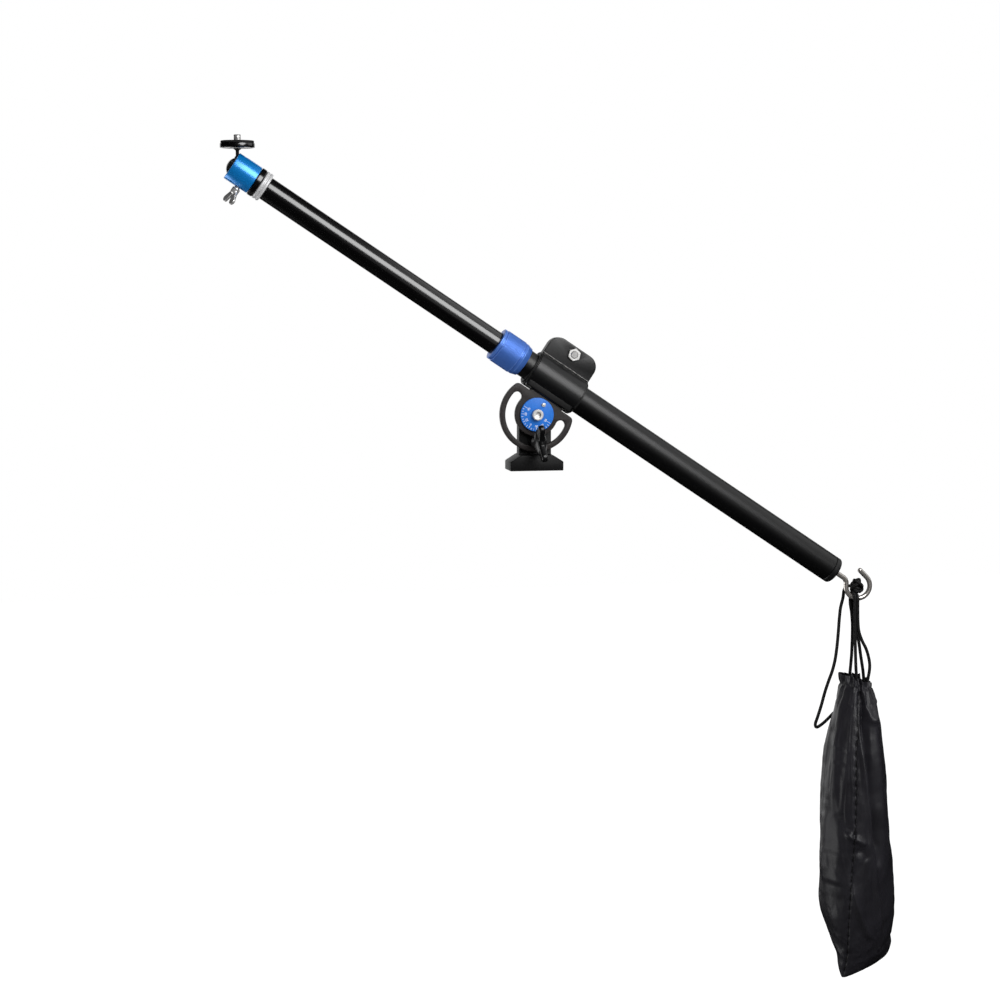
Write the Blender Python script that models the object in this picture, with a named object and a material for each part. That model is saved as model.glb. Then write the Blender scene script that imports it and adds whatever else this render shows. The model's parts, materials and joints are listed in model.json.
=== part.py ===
"""Tripod extension arm: a tilting boom with a telescopic tube, a ball head and a weight bag.

Units are metres, +Z is up, +X points to the bag end and -Y to the front.  The origin is the
middle of the base's underside.  Pieces of the arm are placed under empties that lie on the
joints, so the whole arm follows TILT.
"""

import math

import bmesh
import bpy
from mathutils import Matrix, Vector

# General
GAP = 0.0003                    # between neighbours that touch on the real arm
ROUND_STEPS = 36                # facets round a tube
SMALL_STEPS = 16                # facets round a screw
TILT = math.radians(33.7)       # the boom's fall towards the bag

# Base block
BASE_LENGTH = 0.048
BASE_DEPTH = 0.026
BASE_SIDE_HEIGHT = 0.008
BASE_SHOULDER_HEIGHT = 0.014
UPRIGHT_WIDTH = 0.029
UPRIGHT_THICKNESS = 0.012
UPRIGHT_FRONT = -0.0045
PIVOT_HEIGHT = 0.050
LARGE_SOCKET_RADIUS = 0.00476   # 3/8 inch socket
SMALL_SOCKET_RADIUS = 0.00318   # 1/4 inch socket
SOCKET_DEPTH = 0.010
SOCKET_OFFSET = 0.009
EDGE = 0.0006                   # small edge bevel on castings

# Tilt plate and dial
PLATE_RADIUS = 0.033
PLATE_THICKNESS = 0.005
PLATE_SHOULDER = 0.0149         # straight edge above the pivot
PLATE_CORNER = 0.004
NECK_WIDTH = 0.034
TONGUE_HEIGHT = 0.002
SLOT_RADIUS = 0.0238
SLOT_WIDTH = 0.0088
SLOT_RISE = math.radians(9)     # slot ends above the line along the arm
FRICTION_WASHER_RADIUS = 0.010
FRICTION_WASHER_THICKNESS = 0.0006
DIAL_RADIUS = 0.015
DIAL_THICKNESS = 0.002
DIAL_SCREW_OFFSET = 0.0104
DIAL_SCREW_RADIUS = 0.0012
DIAL_SCREW_HEAD = 0.0019
DIAL_SCREW_LENGTH = 0.004

# Screws
PIVOT_SCREW_RADIUS = 0.003
PIVOT_HEAD_RADIUS = 0.005
PIVOT_HEAD_HEIGHT = 0.004
HEX_KEY_RADIUS = 0.0029
NUT_ACROSS_FLATS = 0.010
NUT_THICKNESS = 0.005
WASHER_RADIUS = 0.0055
WASHER_THICKNESS = 0.0012
LOCK_STUD_RADIUS = 0.0025
CLAMP_STUD_RADIUS = 0.003
STUD_GRIP = 0.011               # length of a stud inside its knob

# Wing knobs
KNOB_HUB_RADIUS = 0.0065
KNOB_HUB_LENGTH = 0.019
KNOB_HUB_TOP_RADIUS = 0.0048
KNOB_WING_REACH = 0.0121
KNOB_WING_HEIGHT = 0.0245
KNOB_LOBE_RADIUS = 0.0042
KNOB_WING_THICKNESS = 0.0055
KNOB_VALLEY_HEIGHT = 0.0205

# Clamp on the tube
AXIS_RISE = 0.033               # tube axis above the pivot
SLEEVE_LENGTH = 0.050
SLEEVE_RADIUS = 0.017
SLEEVE_WALL = 0.0028
FOOT_DROP = 0.0161
FOOT_WIDTH = 0.0272
EAR_HEIGHT = 0.0371
EAR_LENGTH = 0.0495
EAR_CORNER = 0.011
EAR_THICKNESS = 0.004
SLIT_WIDTH = 0.0014
CLAMP_SCREW_HEIGHT = 0.030
NUT_POCKET_DEPTH = 0.0026
LINER_WALL = 0.0011
LINER_FLANGE = 0.0008
LINER_FLANGE_RISE = 0.0012
LINER_SLIT = 0.0012

# Tubes
OUTER_RADIUS = 0.0125
OUTER_WALL = 0.0015
OUTER_FRONT = -0.050
INNER_RADIUS = 0.0105
INNER_WALL = 0.0015
INNER_FRONT = -0.306
INNER_REAR = 0.010
END_FACE = 0.318

# Twist collar and collet
COLLAR_FRONT = -0.0635
COLLAR_LENGTH = 0.0300
COLLAR_RADIUS = 0.0155
COLLAR_BAND_RADIUS = 0.0151
COLLAR_GROOVE_RADIUS = 0.0147
COLLAR_RIM = 0.0022
COLLAR_CONE_LENGTH = 0.0048
COLLAR_END_RADIUS = 0.0135
COLLAR_LIP = 0.0028
COLLET_LENGTH = 0.0095
COLLET_SLIT = 0.0015
BUSH_PLUG = 0.012
BUSH_FLANGE = 0.005

# Rear end
CAP_FLANGE = 0.006
CAP_EDGE = 0.002
CAP_PLUG = 0.015
CAP_BOSS_RADIUS = 0.0060
CAP_BOSS_TIP_RADIUS = 0.0040
CAP_BOSS_HEIGHT = 0.0028
HOOK_NUT_ACROSS_FLATS = 0.008
HOOK_NUT_THICKNESS = 0.004
CAP_RECESS_RADIUS = 0.0055
CAP_RECESS_DEPTH = 0.006
HOOK_WIRE_RADIUS = 0.0023
HOOK_LOOP_RADIUS = 0.0115
HOOK_LOOP_CENTRE = 0.345
HOOK_LOOP_RISE = 0.001
HOOK_BEND_RADIUS = 0.007
HOOK_MOUTH_ANGLE = math.radians(78.4)
HOOK_TAIL = 0.0112

# Head
SILVER_LENGTH = 0.006
SILVER_RADIUS = 0.0132
PLUG_DEPTH = 0.014
HEAD_BASE_LENGTH = 0.005
HEAD_BASE_RADIUS = 0.0133
HEAD_SPIGOT = 0.005
HEAD_STUD_RADIUS = 0.003
HOUSING_LENGTH = 0.023
HOUSING_RADIUS = 0.013
HOUSING_WALL = 0.0027
BALL_RADIUS = 0.010
BALL_INSET = 0.006              # ball centre behind the housing's rim
NOTCH_RADIUS = 0.0042
NOTCH_SINK = 0.0009             # notch bottom's centre in front of the ball's
SEAT_START = 0.0045             # ball seat's lip behind the ball centre
HEAD_SCREW_BACK = 0.0082        # wing screw behind the ball centre
HEAD_SCREW_RADIUS = 0.0025
HEAD_SCREW_TURN = math.radians(60)
HEAD_SCREW_BITE = 0.0012        # how far its tip enters the ball seat
HEAD_HUB_RADIUS = 0.0036
HEAD_HUB_LENGTH = 0.0055
HEAD_WING_REACH = 0.0052
HEAD_WING_HEIGHT = 0.0115
HEAD_LOBE_RADIUS = 0.0031
HEAD_WING_THICKNESS = 0.0024
STEM_RADIUS = 0.0020
STEM_FOOT_RADIUS = 0.0028
STEM_FLARE_RADIUS = 0.0036
PLATE_RISE = 0.0181             # camera plate above the ball centre
CAMERA_PLATE_RADIUS = 0.015
CAMERA_PLATE_THICKNESS = 0.0040
CAMERA_PAD_THICKNESS = 0.0018
CAMERA_PAD_RADIUS = 0.0143
CAMERA_SCREW_RADIUS = 0.0031
CAMERA_SCREW_HEIGHT = 0.0052

# Weight bag: height and centre of each section, half its thickness and width, and its turn
BAG_SECTIONS = (
    (-0.1920, 0.3040, 0.0125, 0.0150, math.radians(4)),
    (-0.2050, 0.3050, 0.0143, 0.0210, math.radians(8)),
    (-0.2190, 0.3060, 0.0178, 0.0270, math.radians(14)),
    (-0.2390, 0.3056, 0.0223, 0.0350, math.radians(16)),
    (-0.2570, 0.3046, 0.0259, 0.0405, math.radians(17)),
    (-0.2750, 0.3045, 0.0285, 0.0450, math.radians(17)),
    (-0.3230, 0.3061, 0.0312, 0.0520, math.radians(19)),
    (-0.3820, 0.3092, 0.0336, 0.0550, math.radians(25)),
    (-0.4120, 0.3107, 0.0336, 0.0550, math.radians(28)),
    (-0.4300, 0.3139, 0.0292, 0.0545, math.radians(32)),
    (-0.4470, 0.3168, 0.0228, 0.0535, math.radians(36)),
    (-0.4600, 0.3185, 0.0170, 0.0515, math.radians(40)),
    (-0.4690, 0.3178, 0.0105, 0.0490, math.radians(42)),
    (-0.4745, 0.3159, 0.0020, 0.0460, math.radians(43)),
)
BAG_STEPS = 32
BAG_SQUARENESS = 0.92           # below 1 fills the corners of an oval section
CORD_RADIUS = 0.0011
CORD_STEP = 0.0036
KNOT_LEADS = 3                  # the knot's turns about the vertical
KNOT_BIGHTS = 2                 # how often each turn goes up and down
KNOT_RADIUS = 0.0039
KNOT_WEAVE = 0.0016             # how far the cord goes out and in as it crosses itself
KNOT_LATITUDE = 1.15
KNOT_STRETCH = 1.30             # height against width
KNOT_STEPS = 54
KNOT_OPENING = 0.30             # turn left open between the knot's ends
KNOT_CENTRE = (0.3050, 0.0, -0.1120)

# The drawcord's routes, from the bag's mouth over the hook and back
LEFT_CORD_ROUTE = (
    (0.2979, -0.0056, -0.19165), (0.2984, -0.0052, -0.1810), (0.2990, -0.0049, -0.1660),
    (0.2992, -0.0046, -0.1500), (0.2991, -0.0043, -0.1360), (0.2992, -0.0041, -0.1270),
    (0.2995, -0.0038, -0.1215), (0.3007, -0.0016, -0.1189), (0.3021, 0.0014, -0.1200),
    (0.3032, 0.0036, -0.1228), (0.3040, 0.0042, -0.1280), (0.3044, 0.0044, -0.1400),
    (0.3048, 0.0046, -0.1560), (0.3060, 0.0050, -0.1740), (0.3070, 0.0056, -0.19165),
)
RIGHT_CORD_ROUTE = (
    (0.3110, -0.0050, -0.19160), (0.3094, -0.0048, -0.1830), (0.3064, -0.0045, -0.1690),
    (0.3044, -0.0043, -0.1560), (0.3038, -0.0042, -0.1400), (0.3040, -0.0041, -0.1300),
    (0.3046, -0.0037, -0.1236), (0.3056, -0.0016, -0.1206), (0.3070, 0.0014, -0.1206),
    (0.3082, 0.0036, -0.1228), (0.3088, 0.0042, -0.1275), (0.3090, 0.0044, -0.1370),
    (0.3094, 0.0046, -0.1500), (0.3118, 0.0050, -0.1630), (0.3160, 0.0056, -0.1755),
    (0.3190, 0.0062, -0.1850), (0.3198, 0.0066, -0.1905), (0.3192, 0.0072, -0.1965),
)
LOOP_CORD_ROUTE = (
    (0.3004, 0.0044, -0.1134), (0.2972, 0.0062, -0.1146), (0.2940, 0.0072, -0.1188),
    (0.2908, 0.0076, -0.1290), (0.2878, 0.0078, -0.1440), (0.2862, 0.0082, -0.1600),
    (0.2850, 0.0090, -0.1740), (0.2820, 0.0100, -0.1890), (0.2780, 0.0112, -0.2060),
    (0.2736, 0.0122, -0.2220), (0.2698, 0.0130, -0.2345), (0.2668, 0.0136, -0.2410),
    (0.2672, 0.0144, -0.2456), (0.2712, 0.0156, -0.2446), (0.2748, 0.0174, -0.2416),
    (0.2786, 0.0196, -0.2392), (0.2878, 0.0202, -0.2382),
)

# Places along the tube's axis that follow from the sizes
SLEEVE_BORE = SLEEVE_RADIUS - SLEEVE_WALL
OUTER_BORE = OUTER_RADIUS - OUTER_WALL
INNER_BORE = INNER_RADIUS - INNER_WALL
PLATE_BACK = UPRIGHT_FRONT - FRICTION_WASHER_THICKNESS - 2 * GAP
PLATE_FRONT = PLATE_BACK - PLATE_THICKNESS
DIAL_BACK = PLATE_FRONT - GAP
DIAL_FRONT = DIAL_BACK - DIAL_THICKNESS
UPRIGHT_BACK = UPRIGHT_FRONT + UPRIGHT_THICKNESS
FOOT_BOTTOM = AXIS_RISE - FOOT_DROP
EAR_FACE = SLIT_WIDTH / 2 + EAR_THICKNESS
COLLAR_BACK = COLLAR_FRONT + COLLAR_LENGTH
SILVER_FRONT = INNER_FRONT - GAP - SILVER_LENGTH
HEAD_BASE_FRONT = SILVER_FRONT - GAP - HEAD_BASE_LENGTH
HOUSING_BACK = HEAD_BASE_FRONT - GAP
HOUSING_FRONT = HOUSING_BACK - HOUSING_LENGTH
BALL_CENTRE = HOUSING_FRONT + BALL_INSET
HOUSING_BORE = HOUSING_RADIUS - HOUSING_WALL
HEAD_SCREW_PLACE = BALL_CENTRE + HEAD_SCREW_BACK
CAP_FACE = END_FACE - CAP_FLANGE
OUTER_REAR = CAP_FACE - GAP


def clear_scene():
    for old in list(bpy.data.objects):
        bpy.data.objects.remove(old, do_unlink=True)


def make_material(name, colour, roughness, metallic):
    material = bpy.data.materials.new(name)
    material.use_nodes = True
    shader = material.node_tree.nodes["Principled BSDF"]
    shader.inputs["Base Color"].default_value = (*colour, 1.0)
    shader.inputs["Roughness"].default_value = roughness
    shader.inputs["Metallic"].default_value = metallic
    material.diffuse_color = (*colour, 1.0)
    return material


def make_materials():
    return {
        "cast_black": make_material("cast_black", (0.020, 0.019, 0.020), 0.55, 0.0),
        "black_anodised": make_material("black_anodised", (0.010, 0.010, 0.012), 0.30, 0.6),
        "black_plastic": make_material("black_plastic", (0.012, 0.012, 0.013), 0.45, 0.0),
        "white_nylon": make_material("white_nylon", (0.62, 0.62, 0.60), 0.50, 0.0),
        "blue_anodised": make_material("blue_anodised", (0.010, 0.080, 0.550), 0.30, 0.7),
        "blue_dial": make_material("blue_dial", (0.015, 0.160, 0.750), 0.40, 0.0),
        "steel": make_material("steel", (0.62, 0.61, 0.60), 0.25, 1.0),
        "silver": make_material("silver", (0.75, 0.75, 0.76), 0.28, 1.0),
        "rubber": make_material("rubber", (0.015, 0.015, 0.015), 0.80, 0.0),
        "nylon_cloth": make_material("nylon_cloth", (0.022, 0.022, 0.026), 0.65, 0.0),
        "cord": make_material("cord", (0.010, 0.010, 0.011), 0.70, 0.0),
    }


# Placing and joining

def make_axis(name, parent=None, place=(0, 0, 0), turn=None):
    axis = bpy.data.objects.new(name, None)
    axis.empty_display_size = 0.01
    bpy.context.scene.collection.objects.link(axis)
    axis.parent = parent
    axis.location = place
    if turn is not None:
        axis.rotation_euler = turn.to_euler()
    return axis


def make_object(name, mesh, parent=None, place=(0, 0, 0), turn=None, material=None):
    piece = bpy.data.objects.new(name, mesh)
    bpy.context.scene.collection.objects.link(piece)
    piece.parent = parent
    piece.location = place
    if turn is not None:
        piece.rotation_euler = turn.to_euler()
    if material is not None:
        mesh.materials.append(material)
    return piece


def make_tool(piece):
    """Marks a shape as a cutter or an addition, so that it isn't a piece itself."""
    piece.hide_render = True
    piece.display_type = "WIRE"
    return piece


def combine(piece, tool, operation):
    make_tool(tool)
    modifier = piece.modifiers.new(tool.name, "BOOLEAN")
    modifier.operation = operation
    modifier.solver = "EXACT"
    modifier.object = tool


def cut(piece, tool):
    combine(piece, tool, "DIFFERENCE")


def add(piece, tool):
    combine(piece, tool, "UNION")


def soften(piece, width, segments=1):
    modifier = piece.modifiers.new("edges", "BEVEL")
    modifier.width = width
    modifier.segments = segments
    modifier.limit_method = "ANGLE"
    modifier.angle_limit = math.radians(40)


# Outlines

def arc(centre, radius, start, end, steps):
    """Points on an arc, both ends included."""
    points = []
    for i in range(steps + 1):
        angle = start + (end - start) * i / steps
        points.append((centre[0] + radius * math.cos(angle), centre[1] + radius * math.sin(angle)))
    return points


def circle(radius, steps, centre=(0, 0)):
    return arc(centre, radius, 0, math.tau, steps)[:-1]


def hexagon(across_flats, centre=(0, 0), turn=0.0):
    radius = across_flats / 2 / math.cos(math.pi / 6)
    return arc(centre, radius, turn, turn + math.tau, 6)[:-1]


def rectangle(left, right, low, high):
    return [(left, low), (right, low), (right, high), (left, high)]


# Solids

def finish_mesh(name, shape):
    bmesh.ops.remove_doubles(shape, verts=shape.verts, dist=1e-7)
    bmesh.ops.recalc_face_normals(shape, faces=shape.faces)
    mesh = bpy.data.meshes.new(name)
    shape.to_mesh(mesh)
    shape.free()
    mesh.shade_smooth()
    mesh.set_sharp_from_angle(angle=math.radians(35))
    return mesh


def turned_mesh(name, profile, steps=ROUND_STEPS):
    """Turns (height, radius) points about Z.  A profile that starts and ends on the axis stays open."""
    shape = bmesh.new()
    points = [shape.verts.new((radius, 0, height)) for height, radius in profile]
    edges = [shape.edges.new(pair) for pair in zip(points, points[1:])]
    if profile[0][1] > 0:
        edges.append(shape.edges.new((points[-1], points[0])))
    bmesh.ops.spin(shape, geom=points + edges, cent=(0, 0, 0), axis=(0, 0, 1),
                   angle=math.tau, steps=steps, use_merge=True, use_duplicate=False)
    return finish_mesh(name, shape)


def prism_mesh(name, outline, axis, low, high):
    """Extrudes an outline along X, Y or Z; its two coordinates are the other two axes in order."""
    shape = bmesh.new()
    others = [i for i in range(3) if i != axis]
    corners = []
    for first, second in outline:
        corner = [0.0, 0.0, 0.0]
        corner[others[0]] = first
        corner[others[1]] = second
        corner[axis] = low
        corners.append(shape.verts.new(corner))
    face = shape.faces.new(corners)
    push = [0.0, 0.0, 0.0]
    push[axis] = high - low
    extruded = bmesh.ops.extrude_face_region(shape, geom=[face])
    moved = [item for item in extruded["geom"] if isinstance(item, bmesh.types.BMVert)]
    bmesh.ops.translate(shape, verts=moved, vec=push)
    return finish_mesh(name, shape)


X, Y, Z = 0, 1, 2
ALONG_X = Matrix.Rotation(math.pi / 2, 4, "Y")
ALONG_Y = Matrix.Rotation(-math.pi / 2, 4, "X")
ALONG_MINUS_Y = Matrix.Rotation(math.pi / 2, 4, "X")
ALONG_MINUS_Z = Matrix.Rotation(math.pi, 4, "X")


def turned(name, profile, parent, turn, material=None, place=(0, 0, 0), steps=ROUND_STEPS):
    return make_object(name, turned_mesh(name, profile, steps), parent, place, turn, material)


def prism(name, outline, axis, low, high, parent, material=None, place=(0, 0, 0)):
    return make_object(name, prism_mesh(name, outline, axis, low, high), parent, place, None, material)


def ring(name, start, end, inner, outer, parent, turn, material=None, place=(0, 0, 0), steps=ROUND_STEPS):
    profile = [(start, outer), (end, outer), (end, inner), (start, inner)]
    return turned(name, profile, parent, turn, material, place, steps)


def rod(name, start, end, radius, parent, turn, material=None, place=(0, 0, 0), steps=SMALL_STEPS):
    profile = [(start, 0), (start, radius), (end, radius), (end, 0)]
    return turned(name, profile, parent, turn, material, place, steps)


def hex_nut(name, across_flats, low, high, bore, parent, material, place=(0, 0, 0)):
    """A nut on the Y axis."""
    nut = prism(name, hexagon(across_flats), Y, low, high, parent, material, place)
    cut(nut, rod(name + "_bore", low - GAP, high + GAP, bore, parent, ALONG_Y, place=place))
    return nut


def wing_outline(root, low, reach, height, lobe, valley):
    """A pair of wings: two round lobes on a common root, with a valley between."""
    right = arc((reach, height), lobe, math.radians(-35), math.radians(140), 10)
    left = [(-x, z) for x, z in reversed(right)]
    return [(-root, low), (root, low)] + right + [(0, valley)] + left


# Base

def make_base(finish, tilt_axis, lock_axis):
    half = BASE_LENGTH / 2
    half_upright = UPRIGHT_WIDTH / 2
    block_outline = [
        (-half, 0), (half, 0), (half, BASE_SIDE_HEIGHT), (half_upright, BASE_SHOULDER_HEIGHT),
        (-half_upright, BASE_SHOULDER_HEIGHT), (-half, BASE_SIDE_HEIGHT),
    ]
    block = prism("base_block", block_outline, Y, -BASE_DEPTH / 2, BASE_DEPTH / 2, None,
                  finish["cast_black"])
    soften(block, EDGE)
    upright_outline = [(half_upright, BASE_SIDE_HEIGHT)]
    upright_outline += arc((0, PIVOT_HEIGHT), half_upright, 0, math.pi, 20)
    upright_outline += [(-half_upright, BASE_SIDE_HEIGHT)]
    add(block, prism("upright", upright_outline, Y, UPRIGHT_FRONT, UPRIGHT_BACK, None))
    cut(block, rod("pivot_hole", UPRIGHT_FRONT - GAP, UPRIGHT_BACK + GAP, PIVOT_SCREW_RADIUS + GAP,
                   tilt_axis, ALONG_Y))
    cut(block, rod("lock_hole", UPRIGHT_FRONT - GAP, UPRIGHT_BACK + GAP, LOCK_STUD_RADIUS + GAP,
                   lock_axis, ALONG_Y))
    for name, radius, side in (("large_socket", LARGE_SOCKET_RADIUS, -1),
                               ("small_socket", SMALL_SOCKET_RADIUS, 1)):
        cut(block, rod(name, -GAP, SOCKET_DEPTH, radius, None, None,
                       place=(side * SOCKET_OFFSET, 0, 0)))


def make_pivot(finish, tilt_axis):
    shank = PIVOT_SCREW_RADIUS
    head_back = DIAL_FRONT - GAP
    head_front = head_back - PIVOT_HEAD_HEIGHT
    nut_front = UPRIGHT_BACK + WASHER_THICKNESS + 2 * GAP
    end = nut_front + NUT_THICKNESS + shank / 2
    edge = PIVOT_HEAD_RADIUS * 0.12
    profile = [
        (head_front, 0), (head_front, PIVOT_HEAD_RADIUS - edge), (head_front + edge, PIVOT_HEAD_RADIUS),
        (head_back, PIVOT_HEAD_RADIUS), (head_back, shank), (end, shank), (end, 0),
    ]
    bolt = turned("pivot_bolt", profile, tilt_axis, ALONG_Y, finish["steel"], steps=SMALL_STEPS)
    key = prism("pivot_key", hexagon(2 * HEX_KEY_RADIUS), Y, head_front - GAP,
                head_front + PIVOT_HEAD_HEIGHT * 0.6, tilt_axis)
    cut(bolt, key)
    ring("friction_washer", UPRIGHT_FRONT - GAP - FRICTION_WASHER_THICKNESS, UPRIGHT_FRONT - GAP,
         shank + GAP, FRICTION_WASHER_RADIUS, tilt_axis, ALONG_Y, finish["white_nylon"],
         steps=SMALL_STEPS)
    ring("pivot_washer", UPRIGHT_BACK + GAP, UPRIGHT_BACK + GAP + WASHER_THICKNESS, shank + GAP,
         WASHER_RADIUS, tilt_axis, ALONG_Y, finish["steel"], steps=SMALL_STEPS)
    hex_nut("pivot_nut", NUT_ACROSS_FLATS, nut_front, nut_front + NUT_THICKNESS, shank + GAP,
            tilt_axis, finish["steel"])


def make_wing_knob(name, stud_radius, parent, turn, start, finish):
    """A moulded wing knob: its axis is local Z, with the back face at start."""
    dome = KNOB_HUB_TOP_RADIUS * 0.25
    top = start + KNOB_HUB_LENGTH
    profile = [
        (start, 0), (start, KNOB_HUB_RADIUS), (start + KNOB_HUB_LENGTH * 0.35, KNOB_HUB_RADIUS),
        (top - dome, KNOB_HUB_TOP_RADIUS), (top, KNOB_HUB_TOP_RADIUS - dome), (top, 0),
    ]
    knob = turned(name, profile, parent, turn, finish["black_plastic"], steps=SMALL_STEPS)
    outline = wing_outline(KNOB_HUB_TOP_RADIUS, start + KNOB_HUB_LENGTH * 0.3, KNOB_WING_REACH,
                           start + KNOB_WING_HEIGHT, KNOB_LOBE_RADIUS, start + KNOB_VALLEY_HEIGHT)
    wings = make_object(name + "_wings",
                        prism_mesh(name + "_wings", outline, Y, -KNOB_WING_THICKNESS / 2,
                                   KNOB_WING_THICKNESS / 2), parent, turn=turn)
    soften(wings, KNOB_WING_THICKNESS * 0.25, 2)
    add(knob, wings)
    cut(knob, rod(name + "_bore", start - GAP, start + STUD_GRIP + GAP, stud_radius + GAP, parent, turn))
    return knob


def make_lock(finish, lock_axis):
    """The wing knob that holds the tilt, on its stud through the slot."""
    washer_back = PLATE_FRONT - GAP
    washer_front = washer_back - WASHER_THICKNESS
    knob_back = washer_front - GAP
    upright_turn = ALONG_MINUS_Y @ Matrix.Rotation(math.pi / 2, 4, "Z")
    ring("lock_washer", washer_front, washer_back, LOCK_STUD_RADIUS + GAP, WASHER_RADIUS,
         lock_axis, ALONG_Y, finish["steel"], steps=SMALL_STEPS)
    rod("lock_stud", knob_back - STUD_GRIP, UPRIGHT_BACK - GAP, LOCK_STUD_RADIUS, lock_axis,
        ALONG_Y, finish["steel"])
    make_wing_knob("lock_knob", LOCK_STUD_RADIUS, lock_axis, upright_turn, -knob_back, finish)


# Tilt plate and dial

def make_tilt_plate(finish, tilt_axis):
    corner_angle = math.asin((PLATE_SHOULDER - PLATE_CORNER) / (PLATE_RADIUS - PLATE_CORNER))
    corner_x = (PLATE_RADIUS - PLATE_CORNER) * math.cos(corner_angle)
    corner_z = PLATE_SHOULDER - PLATE_CORNER
    neck = NECK_WIDTH / 2
    tongue_top = FOOT_BOTTOM + TONGUE_HEIGHT - GAP
    outline = [(-neck, PLATE_SHOULDER), (-neck, tongue_top), (neck, tongue_top), (neck, PLATE_SHOULDER)]
    outline += arc((corner_x, corner_z), PLATE_CORNER, math.pi / 2, corner_angle, 5)
    outline += arc((0, 0), PLATE_RADIUS, corner_angle, -math.pi - corner_angle, 60)[1:-1]
    outline += arc((-corner_x, corner_z), PLATE_CORNER, math.pi - corner_angle, math.pi / 2, 5)
    outline.reverse()
    plate = prism("tilt_plate", outline, Y, PLATE_FRONT, PLATE_BACK, tilt_axis, finish["cast_black"])
    soften(plate, EDGE)
    low, high = -math.pi - SLOT_RISE, SLOT_RISE
    half = SLOT_WIDTH / 2
    end_place = (SLOT_RADIUS * math.cos(SLOT_RISE), SLOT_RADIUS * math.sin(SLOT_RISE))
    slot = arc((0, 0), SLOT_RADIUS + half, low, high, 48)
    slot += arc(end_place, half, high, high + math.pi, 8)[1:-1]
    slot += arc((0, 0), SLOT_RADIUS - half, high, low, 36)
    slot += arc((-end_place[0], end_place[1]), half, low - math.pi, low - math.tau, 8)[1:-1]
    front, back = PLATE_FRONT - GAP, PLATE_BACK + GAP
    cut(plate, prism("slot", slot, Y, front, back, tilt_axis))
    cut(plate, rod("plate_pivot_hole", front, back, PIVOT_SCREW_RADIUS + GAP, tilt_axis, ALONG_Y))
    cut(plate, rod("plate_screw_hole", front, back, DIAL_SCREW_RADIUS + GAP, tilt_axis, ALONG_Y,
                   place=(0, 0, DIAL_SCREW_OFFSET), steps=12))


def make_dial(finish, tilt_axis):
    edge = DIAL_THICKNESS * 0.3
    profile = [
        (DIAL_BACK, PIVOT_SCREW_RADIUS + GAP), (DIAL_BACK, DIAL_RADIUS), (DIAL_FRONT + edge, DIAL_RADIUS),
        (DIAL_FRONT, DIAL_RADIUS - edge), (DIAL_FRONT, PIVOT_SCREW_RADIUS + GAP),
    ]
    dial = turned("dial", profile, tilt_axis, ALONG_Y, finish["blue_dial"])
    cut(dial, rod("dial_hole", DIAL_FRONT - GAP, DIAL_BACK + GAP, DIAL_SCREW_RADIUS + GAP, tilt_axis,
                  ALONG_Y, place=(0, 0, DIAL_SCREW_OFFSET), steps=12))
    head_back = DIAL_FRONT - GAP
    head_front = head_back - DIAL_SCREW_HEAD * 0.7
    screw = [
        (head_front, 0), (head_front, DIAL_SCREW_HEAD * 0.7),
        (head_back - DIAL_SCREW_HEAD * 0.35, DIAL_SCREW_HEAD),
        (head_back, DIAL_SCREW_HEAD), (head_back, DIAL_SCREW_RADIUS),
        (head_back + DIAL_SCREW_LENGTH, DIAL_SCREW_RADIUS), (head_back + DIAL_SCREW_LENGTH, 0),
    ]
    turned("dial_screw", screw, tilt_axis, ALONG_Y, finish["steel"], place=(0, 0, DIAL_SCREW_OFFSET),
           steps=12)


# Clamp

def make_clamp(finish, boom_axis, clamp_axis):
    half = SLEEVE_LENGTH / 2
    edge = EDGE
    profile = [
        (-half, 0), (-half, SLEEVE_RADIUS - edge), (-half + edge, SLEEVE_RADIUS),
        (half - edge, SLEEVE_RADIUS), (half, SLEEVE_RADIUS - edge), (half, 0),
    ]
    sleeve = turned("clamp_sleeve", profile, boom_axis, ALONG_X, finish["cast_black"])
    foot_end = half - edge * 1.5
    foot = prism("foot", rectangle(-FOOT_WIDTH / 2, FOOT_WIDTH / 2, -FOOT_DROP, 0), X,
                 -foot_end, foot_end, boom_axis)
    soften(foot, edge * 2)
    add(sleeve, foot)
    ear = EAR_LENGTH / 2
    ear_outline = [(-ear, 0), (ear, 0)]
    ear_outline += arc((ear - EAR_CORNER, EAR_HEIGHT - EAR_CORNER), EAR_CORNER, 0, math.pi / 2, 8)
    ear_outline += arc((EAR_CORNER - ear, EAR_HEIGHT - EAR_CORNER), EAR_CORNER, math.pi / 2, math.pi, 8)
    ears = prism("ears", ear_outline, Y, -EAR_FACE, EAR_FACE, boom_axis)
    soften(ears, edge)
    add(sleeve, ears)
    half_step = Matrix.Rotation(math.pi / ROUND_STEPS, 4, "Z")
    cut(sleeve, rod("sleeve_bore", -half - GAP, half + GAP, SLEEVE_BORE, boom_axis,
                    ALONG_X @ half_step, steps=ROUND_STEPS))
    cut(sleeve, prism("ear_slit", rectangle(-half - GAP, half + GAP, 0, EAR_HEIGHT + GAP), Y,
                      -SLIT_WIDTH / 2, SLIT_WIDTH / 2, boom_axis))
    cut(sleeve, rod("clamp_hole", -EAR_FACE - GAP, EAR_FACE + GAP, CLAMP_STUD_RADIUS + GAP,
                    clamp_axis, ALONG_Y))
    cut(sleeve, prism("nut_pocket", hexagon(NUT_ACROSS_FLATS + 2 * GAP), Y, -EAR_FACE - GAP,
                      -EAR_FACE + NUT_POCKET_DEPTH, clamp_axis))
    groove = NECK_WIDTH / 2 + GAP
    cut(sleeve, prism("tongue_groove",
                      rectangle(-groove, groove, -FOOT_DROP - GAP, -FOOT_DROP + TONGUE_HEIGHT), Y,
                      PLATE_FRONT - GAP, PLATE_BACK + GAP, boom_axis))


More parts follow.
